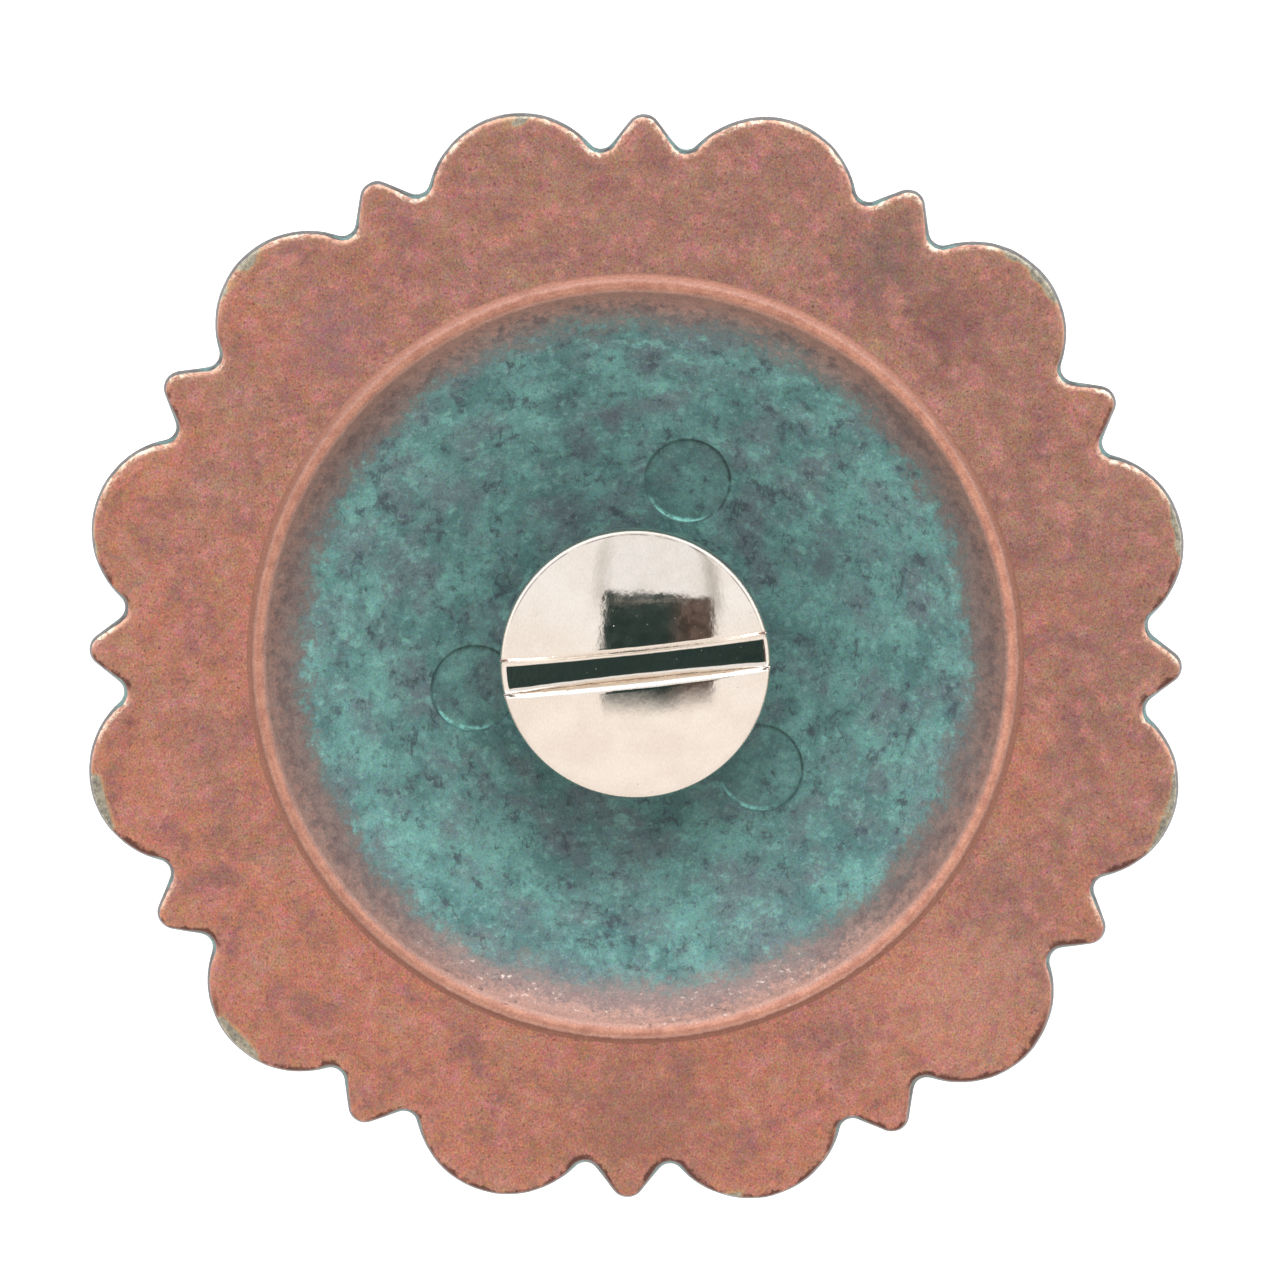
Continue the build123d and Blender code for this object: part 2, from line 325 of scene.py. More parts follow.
def on_plane(x, y):
    return np.column_stack((np.ravel(x), np.ravel(y), np.zeros(np.size(x))))


class Shell:
    """One closed mesh, put together from rings of points, with values kept at its points."""

    VALUES = ("edge_in", "proud", "faces_up")

    def __init__(self):
        self.points, self.faces, self.skins = [], [], []
        self.values = {name: [] for name in self.VALUES}
        self.total = 0
        self.skin = 0

    def add(self, points, **values):
        points = np.atleast_2d(points)
        self.points.append(points)
        for name in self.VALUES:
            self.values[name].append(np.broadcast_to(values.get(name, 0.0), len(points)))
        self.total += len(points)
        return np.arange(self.total - len(points), self.total)

    def face(self, *corners):
        self.faces.append(corners)
        self.skins.append(self.skin)

    def band(self, a, b):
        """Quads between two rings of the same count."""
        for quad in zip(a, np.roll(a, -1), np.roll(b, -1), b):
            self.face(*quad)

    def stack(self, first, rows):
        """Quads through rings that are already added, from the first outward."""
        for row in rows:
            self.band(first, row)
            first = row
        return first

    def seam(self, a, angles_a, b, angles_b):
        """Triangles between two rings of different counts."""
        ends_a = np.append(angles_a[1:], angles_a[0] + TURN)
        ends_b = np.append(angles_b[1:], angles_b[0] + TURN)
        i = j = 0
        while i < len(a) or j < len(b):
            if j == len(b) or (i < len(a) and ends_a[i] <= ends_b[j]):
                self.face(a[i], a[(i + 1) % len(a)], b[j % len(b)])
                i += 1
            else:
                self.face(a[i % len(a)], b[(j + 1) % len(b)], b[j])
                j += 1

    def fan(self, ring, tip):
        for a, b in zip(ring, np.roll(ring, -1)):
            self.face(a, b, tip)

    def fill(self, loops, inner, keep):
        """Triangles through closed loops and inner points, where keep(x, y) holds."""
        ids = np.concatenate(list(loops) + [inner])
        flat = [Vector(p[:2]) for p in np.concatenate(self.points)[ids]]
        edges, start = [], 0
        for loop in loops:
            edges += [(start + k, start + (k + 1) % len(loop)) for k in range(len(loop))]
            start += len(loop)
        spots, _, faces, origins, _, _ = delaunay_2d_cdt(flat, edges, [], 0, 1e-7)
        for face in faces:
            x, y = sum((spots[i] for i in face), Vector((0, 0))) / len(face)
            if keep(x, y):
                self.face(*(ids[origins[i][0]] for i in face))

    def helix(self, low_ring, high_ring, low_z, high_z, section, fade):
        """A screw thread between two rings. Each section row is an axial place and a
        radius, and the thread fades to the rings' radius over this height."""
        end_r = float(np.linalg.norm(np.concatenate(self.points)[low_ring[0]][:2]))
        angles = even(len(low_ring))
        turns = math.ceil((high_z - low_z) / THREAD_PITCH) + 3
        start_z = low_z - (low_z - THREAD_START_Z) % THREAD_PITCH
        rows = []
        for k in range(turns * len(section)):
            place, radius = section[k % len(section)]
            z = start_z + THREAD_PITCH * (k // len(section) - 1 + angles / TURN) + place
            inside = (z > low_z + 1e-6) & (z < high_z - 1e-6)
            share = smooth_step(0, fade, z - low_z) * smooth_step(0, fade, high_z - z)
            r = end_r + (radius - end_r) * share
            row = np.where(z < (low_z + high_z) / 2, low_ring, high_ring)
            if inside.any():
                row[inside] = self.add(np.column_stack((r * np.cos(angles), r * np.sin(angles), z))[inside])
            rows.append(row)
        rows = [np.append(row, turn_later[0]) for row, turn_later in zip(rows, rows[len(section):])]
        for a, b in zip(rows, rows[1:]):
            for quad in zip(a, a[1:], b[1:], b):
                corners = list(dict.fromkeys(quad))
                if len(corners) > 2:
                    self.face(*corners)

    def build(self, name, materials):
        mesh = bpy.data.meshes.new(name)
        points = np.concatenate(self.points) * MM
        mesh.from_pydata(points.tolist(), [], [[int(i) for i in face] for face in self.faces])
        for value in self.VALUES:
            layer = mesh.attributes.new(value, "FLOAT", "POINT")
            layer.data.foreach_set("value", np.concatenate(self.values[value]).astype(np.float32))
        for material in materials:
            mesh.materials.append(material)
        mesh.polygons.foreach_set("material_index", self.skins)
        cleaner = bmesh.new()
        cleaner.from_mesh(mesh)
        unused = [v for v in cleaner.verts if not v.link_faces]
        bmesh.ops.delete(cleaner, geom=unused, context="VERTS")
        bmesh.ops.recalc_face_normals(cleaner, faces=cleaner.faces)
        if cleaner.calc_volume(signed=True) < 0:
            bmesh.ops.reverse_faces(cleaner, faces=cleaner.faces)
        cleaner.to_mesh(mesh)
        cleaner.free()
        mesh.shade_smooth()
        mesh.set_sharp_from_angle(angle=math.radians(38))
        return in_scene(name, mesh)


def in_scene(name, data):
    made = bpy.data.objects.new(name, data)
    bpy.context.scene.collection.objects.link(made)
    return made


# Outline

SECTOR = TURN / LOBE_COUNT
VALLEY = np.array([math.sqrt((EDGE_R - VALLEY_IN + VALLEY_R) ** 2 - (POINT_W / 2) ** 2), POINT_W / 2])


def lobe_radius():
    ux, uy = heading(SECTOR / 2)
    short = EDGE_R - (VALLEY[0] * ux + VALLEY[1] * uy)
    across = VALLEY[1] * ux - VALLEY[0] * uy
    return (short**2 + across**2 - VALLEY_R**2) / (2 * (short + VALLEY_R))


LOBE_R = lobe_radius()
LOBE_CENTRE_R = EDGE_R - LOBE_R


def arc_part(centre, radius, start, end, steps):
    """Places and outward normals along an arc. A hollow arc has a negative radius."""
    angles = start + (end - start) * np.arange(steps) / steps
    normals = np.column_stack((np.cos(angles), np.sin(angles)))
    return np.array(centre) + radius * normals, normals


def outline():
    """The widest line of the edge: places and outward normals, all the way round."""
    point = np.array([TIP_R - POINT_R, 0])
    crest = heading(SECTOR / 2)
    lobe = crest * LOBE_CENTRE_R
    flank = math.atan2(*(VALLEY - point)[::-1])
    flank -= math.acos((POINT_R + VALLEY_R) / math.hypot(*(VALLEY - point)))
    join = math.atan2(*(VALLEY - lobe)[::-1])
    top, foot = point + POINT_R * heading(flank), VALLEY - VALLEY_R * heading(flank)
    shares = np.arange(FLANK_STEPS)[:, None] / FLANK_STEPS
    half_sector = (
        arc_part(point, POINT_R, 0, flank, TIP_STEPS // 2),
        (top + (foot - top) * shares, np.tile(heading(flank), (FLANK_STEPS, 1))),
        arc_part(VALLEY, -VALLEY_R, flank, join, VALLEY_STEPS),
        arc_part(lobe, LOBE_R, join, SECTOR / 2, LOBE_STEPS // 2),
    )
    c, s = heading(SECTOR)
    mirror = np.array([[c, s], [s, -c]])       # in the lobe's line
    lines = []
    for parts, last in zip(zip(*half_sector), (EDGE_R * crest, crest)):
        half = np.concatenate(parts)
        whole = np.vstack((half, np.vstack((half[1:], last))[::-1] @ mirror))
        lines.append(np.vstack([spun(whole, i * SECTOR) for i in range(LOBE_COUNT)]))
    return lines


OUT_XY, OUT_N = outline()
OUT_ANGLES = np.unwrap(np.arctan2(OUT_XY[:, 1], OUT_XY[:, 0]))
OUT_R = np.linalg.norm(OUT_XY, axis=1)


# Plate

DOME_SPHERE_R = sphere_radius(FOOT_RING_R, DOME_EDGE_Z - DOME_Z)
FLOOR_SPHERE_R = sphere_radius(FLOOR_EDGE_R, FLOOR_EDGE_Z - FLOOR_Z)
SKIN_EDGE, SKIN_FLAT, SKIN_RECESS, SKIN_FRONT, SKIN_POST = range(5)


def front_height(x, y):
    """How far the rings, berries and ridges stand out of the rim's front face."""
    r = np.hypot(x, y)
    ring = half_round(np.abs(r - FOOT_RING_R), FOOT_BEAD_R, FOOT_FILLET)
    angle = np.arctan2(y, x)
    lobe_angle = (angle % SECTOR) - SECTOR / 2
    to_lobe = np.hypot(r * np.cos(lobe_angle) - LOBE_CENTRE_R, r * np.sin(lobe_angle))
    foot_r = LOBE_R - BERRY_IN
    berry = BERRY_H - cap_drop(np.minimum(to_lobe, 1.4 * foot_r), sphere_radius(foot_r, BERRY_H))
    point_angle = (angle + SECTOR / 2) % SECTOR - SECTOR / 2
    along, across = r * np.cos(point_angle), r * np.sin(point_angle)
    beyond = np.maximum(np.maximum(RIDGE_ENDS[0] - along, along - RIDGE_ENDS[1]), 0)
    ridge = half_round(np.hypot(across, beyond), RIDGE_R, RIDGE_FILLET)
    raised = smooth_max(np.maximum(ring, ridge), berry, BERRY_BLEND)
    return np.where(berry > -0.2, raised, np.maximum(ring, ridge))


def front_z(x, y):
    r = np.hypot(x, y)
    z = FRONT_Z - front_height(x, y)
    dome = DOME_Z + cap_drop(r, DOME_SPHERE_R)
    away = np.abs(r - CROWN_R)
    crown = CROWN_BEAD_R - np.sqrt(np.maximum(CROWN_BEAD_R**2 - away**2, 0))
    crown += CROWN_FOOT_SLOPE * np.maximum(away - CROWN_BEAD_R, 0)
    dome = -smooth_max(-dome, -crown, CROWN_BLEND)
    return np.where(r < FOOT_RING_R, -smooth_max(-dome, -z, DOME_BLEND), z)


def front_part(shell):
    """From the middle of the dome out to the rim's front edge."""
    radii = np.concatenate((
        DOME_ROWS, CROWN_R + CROWN_BEAD_R * np.sin(np.radians(CROWN_TURNS)),
        DOME_FOOT_ROWS, FOOT_RING_R + FOOT_BEAD_R * np.sin(np.radians(RING_INNER_TURNS)),
    ))
    angles = even(RING_COLUMNS)
    centre = shell.add([[0, 0, DOME_Z]])
    rows = []
    for radius in radii:
        row = circle(radius, 0, angles)
        row[:, 2] = front_z(row[:, 0], row[:, 1])
        bead = smooth_step(*CROWN_PROUD, DOME_Z + cap_drop(radius, DOME_SPHERE_R) - row[:, 2])
        row[:, 2] += DOME_DENT * (1 + rough(row, 2.2, 1)) * (1 - bead)
        rows.append(shell.add(row, proud=bead, edge_in=5.0))
    shell.fan(rows[0], centre[0])
    last = shell.stack(rows[0], rows[1:])

    reach = math.sqrt(FOOT_BEAD_R**2 + 2 * FOOT_BEAD_R * FOOT_FILLET)
    radii = np.concatenate((
        FOOT_RING_R + FOOT_BEAD_R * np.sin(np.radians(RING_OUTER_TURNS)),
        FOOT_RING_R + reach - FOOT_FILLET * np.sin(np.radians(RING_FILLET_TURNS)),
    ))
    rows = []
    for radius in radii:
        row = circle(radius, 0, OUT_ANGLES)
        height = front_height(row[:, 0], row[:, 1])
        row[:, 2] = FRONT_Z - height
        rows.append(shell.add(row, proud=smooth_step(0.1, 0.75, height), edge_in=4.0))
    shell.seam(last, angles, rows[0], OUT_ANGLES)
    last = shell.stack(rows[0], rows[1:])

    inner = circle(radii[-1], 0, OUT_ANGLES)[:, :2]
    edge_in = FRONT_IN + FRONT_EDGE_R
    outer = OUT_XY - OUT_N * edge_in
    rows = []
    for k in range(1, RIM_ROWS + 1):
        xy = inner + (outer - inner) * (k / RIM_ROWS)
        height = front_height(xy[:, 0], xy[:, 1])
        row = np.column_stack((xy, FRONT_Z - height))
        hollow = 1 - smooth_step(0.0, 0.25, height)
        row[:, 2] += HOLLOW_DENT * (1 + rough(row, 0.9, 2)) * hollow * (k < RIM_ROWS)
        rows.append(shell.add(row, proud=smooth_step(0.08, 0.45, height),
                              edge_in=edge_in + np.linalg.norm(outer - xy, axis=1)))
    return shell.stack(last, rows)


def edge_part(shell, last):
    """Round the rim's edge, from the front face to the back face."""
    section = rounded(
        [(FRONT_IN + FRONT_EDGE_R, FRONT_Z), (FRONT_IN, FRONT_Z), (0, WIDEST_Z), (BACK_IN, BACK_Z),
         (0.33, BACK_Z), (0.41, BACK_Z), (LAND_START_IN, BACK_Z)],
        [FRONT_EDGE_R, 0, BACK_EDGE_R, 0, 0], steps=5,
    )
    place = on_plane(*OUT_XY.T)
    waver = np.clip(0.5 + 0.5 * rough(place, 1.1, 5) + 0.3 * rough(place, 0.4, 6), 0, 1)
    # The lines that touch the model's box stay where they are.
    free = smooth_step(0.3, 1.0, np.abs(OUT_XY).min(axis=1))
    flare = VALLEY_FLARE * smooth_step(EDGE_R - 1.0, EDGE_R - VALLEY_IN, OUT_R)
    rows = []
    for inset, z in spread(section, 0.3)[1:]:
        high = smooth_step(BACK_Z - 0.4, BACK_Z - 0.05, z)
        bitten = NICK_DEPTH * np.clip(rough(place + [0, 0, z], 0.55, 8) - 0.45, 0, 1) * free
        fade = smooth_step(LAND_START_IN, 0.25, inset)
        shift = inset + (EDGE_WEAR * waver * free + (bitten + flare) * high) * fade
        drop = EDGE_DROP * waver * fade * smooth_step(BACK_Z - 0.3, BACK_Z, z)
        row = np.column_stack((OUT_XY - OUT_N * shift[:, None], z - drop))
        rows.append(shell.add(row, edge_in=inset, faces_up=OUT_N[:, 1]))
    return shell.stack(last, rows)


def land_part(shell, last):
    """The flat of the rim, in to the foot of the lip."""
    outer = OUT_XY - OUT_N * LAND_START_IN
    inner = circle(LIP_R + LIP_W / 2, 0, OUT_ANGLES)[:, :2]
    rows = []
    for share in (0.02, 0.05, *np.linspace(0.1, 0.96, LAND_ROWS), 0.985):
        xy = outer + (inner - outer) * share
        row = np.column_stack((xy, np.full(len(xy), BACK_Z)))
        dent = LAND_DENT * (0.5 + 0.5 * rough(row, 2.6, 11)) + 0.3 * LAND_DENT * (1 + rough(row, 0.8, 12))
        row[:, 2] -= dent * smooth_step(0, 0.08, share) * smooth_step(1, 0.97, share)
        inset = LAND_START_IN + np.linalg.norm(xy - outer, axis=1)
        rows.append(shell.add(row, edge_in=inset, faces_up=OUT_N[:, 1]))
    last = shell.stack(last, rows[:EDGE_SKIN_ROWS])
    shell.skin = SKIN_FLAT
    return shell.stack(last, rows[EDGE_SKIN_ROWS:])


def lip_part(shell, last):
    """The thin raised lip and the curved wall inside it, down to the floor's edge."""
    half = LIP_W / 2
    arc_r = sphere_radius(half, LIP_H)
    limit = math.asin(half / arc_r)
    waver = rough(circle(LIP_R, 0, OUT_ANGLES), 0.8, 21) + 0.6 * rough(circle(LIP_R, 3, OUT_ANGLES), 0.3, 22)
    bitten = np.clip(rough(circle(LIP_R, 9, OUT_ANGLES), 0.45, 23) - 0.42, 0, 1)
    off_nick = LIP_R * ((OUT_ANGLES - math.radians(LIP_NICK_DEG) + math.pi) % TURN - math.pi)
    bitten = np.maximum(bitten, 0.9 * smooth_step(0.3, 0.1, np.abs(off_nick)))
    rows = []
    for turn in limit * np.linspace(1, -1, LIP_ROWS):
        radius = LIP_R + arc_r * math.sin(turn)
        across = abs(math.sin(turn) / math.sin(limit))
        height = LIP_H * (1 - across**2) ** 1.5
        crest = height / LIP_H
        row = circle(1, BACK_Z + height, OUT_ANGLES)
        row[:, :2] *= (radius + LIP_SWAY * waver * smooth_step(0, 0.5, crest))[:, None]
        row[:, 2] -= crest * (LIP_WEAR * np.clip(1 + waver, 0, 2) + LIP_BITE * bitten)
        rows.append(shell.add(row, edge_in=5.0))

    slope = math.asin(FLOOR_EDGE_R / FLOOR_SPHERE_R)
    mouth = np.array([LIP_R - half, BACK_Z])
    edge = np.array([FLOOR_EDGE_R, FLOOR_EDGE_Z])
    normal = np.array([-math.sin(slope), math.cos(slope)])
    chord = mouth - edge
    wall_r = (chord @ chord) / (2 * (normal @ chord))
    middle = edge + normal * wall_r
    start, end = (math.atan2(*(corner - middle)[::-1]) for corner in (edge, mouth))
    for share in np.linspace(0.92, 0, WALL_ROWS):
        radius, z = middle + wall_r * heading(start + (end - start) * share)
        row = circle(radius, z, OUT_ANGLES)
        dent = WALL_DENT * (rough(row, 1.3, 25) + 0.4 * rough(row, 0.5, 26))
        row[:, 2] -= dent * smooth_step(0, 0.3, share) * smooth_step(1, 0.8, share)
        rows.append(shell.add(row, edge_in=5.0))
    return shell.stack(last, rows)


def floor_height(x, y):
    r = np.hypot(x, y)
    place = on_plane(x, y)
    uneven = FLOOR_DENTS[0] * rough(place, 2.4, 31) + FLOOR_DENTS[1] * rough(place, 0.7, 32)
    inside = smooth_step(FLOOR_EDGE_R, FLOOR_EDGE_R - 0.8, r) * smooth_step(3.5, 4.2, r)
    return FLOOR_Z + cap_drop(r, FLOOR_SPHERE_R) + uneven * inside


def mark_centre(share, degrees):
    return share * MARK_RING_R * heading(math.radians(degrees))


def mark_height(x, y, spot):
    """The floor inside a pin mark: a shallow round flat, square to the floor there."""
    share, degrees, depth_share = spot
    ring_r = share * MARK_RING_R
    ux, uy = heading(math.radians(degrees))
    slope = ring_r / math.sqrt(FLOOR_SPHERE_R**2 - ring_r**2)
    level = FLOOR_Z + cap_drop(ring_r, FLOOR_SPHERE_R) + slope * (x * ux + y * uy - ring_r)
    return level - MARK_DEPTH * depth_share + 0.008 * rough(on_plane(x, y), 0.6, 33)


def mark_part(shell, spot):
    """One pin mark, down from the floor. Returns its outer ring."""
    cx, cy = mark_centre(*spot[:2])
    rows = []
    for beyond, share, count in MARK_ROWS:
        row = circle(MARK_R + beyond, 0, even(count)) + [cx, cy, 0]
        top, low = floor_height(row[:, 0], row[:, 1]), mark_height(row[:, 0], row[:, 1], spot)
        row[:, 2] = top + (low - top) * share
        rows.append(shell.add(row, edge_in=5.0))
    for a, b in zip(rows, rows[1:]):
        if len(a) == len(b):
            shell.band(a, b)
        else:
            shell.seam(a, even(len(a)), b, even(len(b)))
    tip_z = mark_height(np.array([cx]), np.array([cy]), spot)[0]
    shell.fan(rows[-1], shell.add([[cx, cy, tip_z]], edge_in=5.0)[0])
    return rows[0]


def floor_part(shell, last):
    """The dished floor between its edge and the post's foot, with the three pin marks."""
    edge_angles = even(RING_COLUMNS)
    ring = circle(FLOOR_EDGE_R - 0.12, 0, edge_angles)
    ring[:, 2] = floor_height(ring[:, 0], ring[:, 1])
    edge = shell.add(ring, edge_in=5.0)
    shell.seam(last, OUT_ANGLES, edge, edge_angles)
    foot_r = POST_R + POST_FOOT_R
    foot_z = floor_height(np.array([foot_r]), np.array([0.0]))[0]
    foot = shell.add(circle(foot_r, foot_z, even(POST_COLUMNS)))
    loops = [mark_part(shell, spot) for spot in MARK_SPOTS]
    centres = [mark_centre(*spot[:2]) for spot in MARK_SPOTS]
    outside_r = MARK_R + MARK_CLEAR

    outward, round_by = FLOOR_GRID
    spots = []
    for k, radius in enumerate(np.arange(foot_r + 0.16, FLOOR_EDGE_R - 0.25, outward)):
        count = int(TURN * radius / round_by)
        spots.append(circle(radius, 0, even(count) + (k % 2) * math.pi / count))
    spots = np.vstack(spots)
    for cx, cy in centres:
        spots = spots[np.hypot(spots[:, 0] - cx, spots[:, 1] - cy) > outside_r + 0.09]
    spots[:, 2] = floor_height(spots[:, 0], spots[:, 1])
    inner = shell.add(spots, edge_in=5.0)

    def on_floor(x, y):
        if math.hypot(x, y) < foot_r * math.cos(math.pi / POST_COLUMNS):
            return False
        mark_r = outside_r * math.cos(math.pi / MARK_COLUMNS) - 1e-4
        return all(math.hypot(x - cx, y - cy) > mark_r for cx, cy in centres)

    shell.fill([edge, foot] + loops, inner, on_floor)
    return foot


def thread_section(crest_r, root_r, gap):
    """One turn of a 60 degree thread, from the middle of a crest: axial place, radius."""
    crest = THREAD_PITCH / 16 + gap
    flank = abs(crest_r - root_r) * math.tan(math.radians(30))
    middle_r = (crest_r + root_r) / 2
    rise = ((-crest, crest_r), (crest, crest_r), (crest + flank / 2, middle_r), (crest + flank, root_r))
    fall = ((THREAD_PITCH - crest - flank, root_r), (THREAD_PITCH - crest - flank / 2, middle_r))
    return rise + fall


def post_part(shell, last):
    """The post, its chamfered top and the threaded hole in it."""
    foot_r = POST_R + POST_FOOT_R
    foot_z = float(FLOOR_Z + cap_drop(foot_r, FLOOR_SPHERE_R))
    mouth_r = BORE_R + POST_CHAMFER
    section = rounded(
        [(foot_r, foot_z), (POST_R, foot_z), (POST_R, POST_TOP_Z - POST_CHAMFER),
         (POST_R - POST_CHAMFER, POST_TOP_Z), (mouth_r, POST_TOP_Z), (BORE_R, POST_TOP_Z - POST_CHAMFER)],
        [POST_FOOT_R, 0.05, 0.05, 0.04], steps=4,
    )
    angles = even(POST_COLUMNS)
    rows = []
    for radius, z in spread(section, 0.5)[1:]:
        row = circle(radius, z, angles)
        dent = POST_DENT * (1 + rough(row, 0.8, 41)) * (z < POST_TOP_Z - 0.05) * (radius > mouth_r)
        row[:, :2] *= (1 - dent / radius)[:, None]
        rows.append(shell.add(row, edge_in=5.0))
    mouth = shell.stack(last, rows)

    bore_angles = even(THREAD_COLUMNS)
    low_z = BORE_END_Z + BORE_THREAD_IN[0]
    top_z = POST_TOP_Z - POST_CHAMFER - BORE_THREAD_IN[1]
    high_ring, low_ring = (shell.add(circle(BORE_R, z, bore_angles)) for z in (top_z, low_z))
    shell.seam(mouth, angles, high_ring, bore_angles)
    shell.helix(low_ring, high_ring, low_z, top_z, thread_section(BORE_R, BORE_CREST_R, THREAD_GAP), 0.35)
    end = shell.add(circle(BORE_R, BORE_END_Z, bore_angles))
    shell.band(low_ring, end)
    shell.fan(end, shell.add([[0, 0, BORE_END_Z]])[0])


def make_plate(materials):
    shell = Shell()
    shell.skin = SKIN_FRONT
    last = front_part(shell)
    shell.skin = SKIN_EDGE
    last = land_part(shell, edge_part(shell, last))
    shell.skin = SKIN_RECESS
    last = floor_part(shell, lip_part(shell, last))
    shell.skin = SKIN_POST
    post_part(shell, last)
    return shell.build("concho_plate_skin", materials)


# Screw

HEAD_SPHERE_R = sphere_radius(HEAD_R, HEAD_DOME_H)
HEAD_CENTRE_Z = HEAD_TOP_Z - HEAD_SPHERE_R
HEAD_FILLET_R = HEAD_R - HEAD_EDGE_R
HEAD_TOUCH_R = HEAD_FILLET_R * HEAD_SPHERE_R / (HEAD_SPHERE_R - HEAD_EDGE_R)
SLOT_LEAN, SLOT_LOW_LEAN = (math.tan(math.radians(d)) for d in (SLOT_DRAFT_DEG, SLOT_LOW_DRAFT_DEG))


def head_height(x, y):
    """Top of the head, in the slot's own frame with x along the slot."""
    r = np.hypot(x, y)
    fillet_z = HEAD_CENTRE_Z + math.sqrt((HEAD_SPHERE_R - HEAD_EDGE_R) ** 2 - HEAD_FILLET_R**2)
    dome = HEAD_CENTRE_Z + np.sqrt(HEAD_SPHERE_R**2 - np.minimum(r, HEAD_R) ** 2)
    rim = fillet_z + np.sqrt(np.maximum(HEAD_EDGE_R**2 - (r - HEAD_FILLET_R) ** 2, 0))
    top = np.where(r > HEAD_TOUCH_R, rim, dome)

    half = SLOT_W / 2
    beyond = np.abs(y) - half
    reach = np.minimum(x**2 + half**2, HEAD_R**2)
    crest = HEAD_CENTRE_Z + np.sqrt(HEAD_SPHERE_R**2 - reach) - SLOT_BEVEL
    bevel = crest + beyond * math.tan(math.radians(SLOT_BEVEL_DEG))
    knee = SLOT_FLOOR_Z + SLOT_KNEE * (crest - SLOT_FLOOR_Z)
    knee_y = half - (crest - knee) * SLOT_LEAN
    wall = np.maximum(crest + beyond / SLOT_LEAN, knee + (np.abs(y) - knee_y) / SLOT_LOW_LEAN)
    flat = half - (crest - SLOT_FLOOR_Z) * ((1 - SLOT_KNEE) * SLOT_LEAN + SLOT_KNEE * SLOT_LOW_LEAN)
    foot = np.maximum(np.abs(y) - flat + SLOT_FOOT_R, 0) ** 2 / (SLOT_FOOT_RISE * SLOT_FOOT_R)
    foot += SLOT_FLOOR_Z
    foot -= HEAD_EDGE_R - np.sqrt(np.maximum(HEAD_EDGE_R**2 - np.maximum(r - HEAD_FILLET_R, 0) ** 2, 0))
    return np.minimum(top, np.maximum(np.minimum(wall, bevel), foot))


def on_head(xy):
    """Points on the head, with the slot's edges a little uneven."""
    z = head_height(xy[:, 0], xy[:, 1])
    across = np.abs(xy[:, 1])
    along = on_plane(xy[:, 0], np.sign(xy[:, 1]) * 4)
    waver = SLOT_WAVER * (rough(along, 0.7, 61) + 0.6 * rough(along, 0.2, 62))
    near = smooth_step(0.25, 0.4, across) * smooth_step(0.9, 0.7, across)
    free = smooth_step(HEAD_R - 0.1, HEAD_R - 0.5, np.hypot(*xy.T))
    moved = xy + np.column_stack((np.zeros(len(xy)), waver * near * free))
    return np.column_stack((spun(moved, math.radians(SLOT_DEG)), z))


def head_part(shell):
    """The head's domed top with its slot. Returns its outer ring and that ring's angles."""
    lines = SLOT_ROWS + tuple(SLOT_W / 2 + beyond for beyond in SLOT_EDGE_ROWS)
    lines = sorted({-v for v in lines} | set(lines))
    slot_angles = np.array([math.asin(v / HEAD_R) for v in lines])
    side_angles = np.linspace(slot_angles[-1], math.pi - slot_angles[-1], 82)[1:-1]
    angles = np.concatenate((slot_angles, side_angles, math.pi + slot_angles, side_angles + math.pi))
    angles = np.sort((angles + TURN) % TURN)

    first = math.degrees(math.asin((HEAD_TOUCH_R - HEAD_FILLET_R) / HEAD_EDGE_R))
    rim_turns = np.radians(np.linspace(first, 90, 6))
    inner_r = HEAD_TOUCH_R - 0.12
    rings = []
    for radius in (inner_r, *(HEAD_FILLET_R + HEAD_EDGE_R * np.sin(rim_turns))):
        # The columns at the slot follow its straight lines.
        across = HEAD_R * np.sin(angles)
        straight = np.arcsin(np.clip(across / radius, -1, 1))
        straight = np.where(np.cos(angles) > 0, straight, math.pi - straight) % TURN
        ring_angles = np.where(np.abs(across) < lines[-1] + 1e-6, straight, angles)
        rings.append(shell.add(on_head(circle(radius, 0, ring_angles)[:, :2])))
    shell.stack(rings[0], rings[1:])

    outward, round_by = HEAD_GRID
    spots = []
    for v in lines:
        reach = math.sqrt(inner_r**2 - v**2) - 0.07
        x = np.linspace(-reach, reach, int(2 * reach / outward))
        spots.append(np.column_stack((x, np.full(len(x), v))))
    for radius in np.arange(0.9, inner_r - 0.08, outward):
        xy = circle(radius, 0, even(int(TURN * radius / round_by)))[:, :2]
        spots.append(xy[np.abs(xy[:, 1]) > lines[-1] + 0.06])
    inner = shell.add(on_head(np.vstack(spots)))
    shell.fill([rings[0]], inner, lambda x, y: True)
    return rings[-1], angles + math.radians(SLOT_DEG)


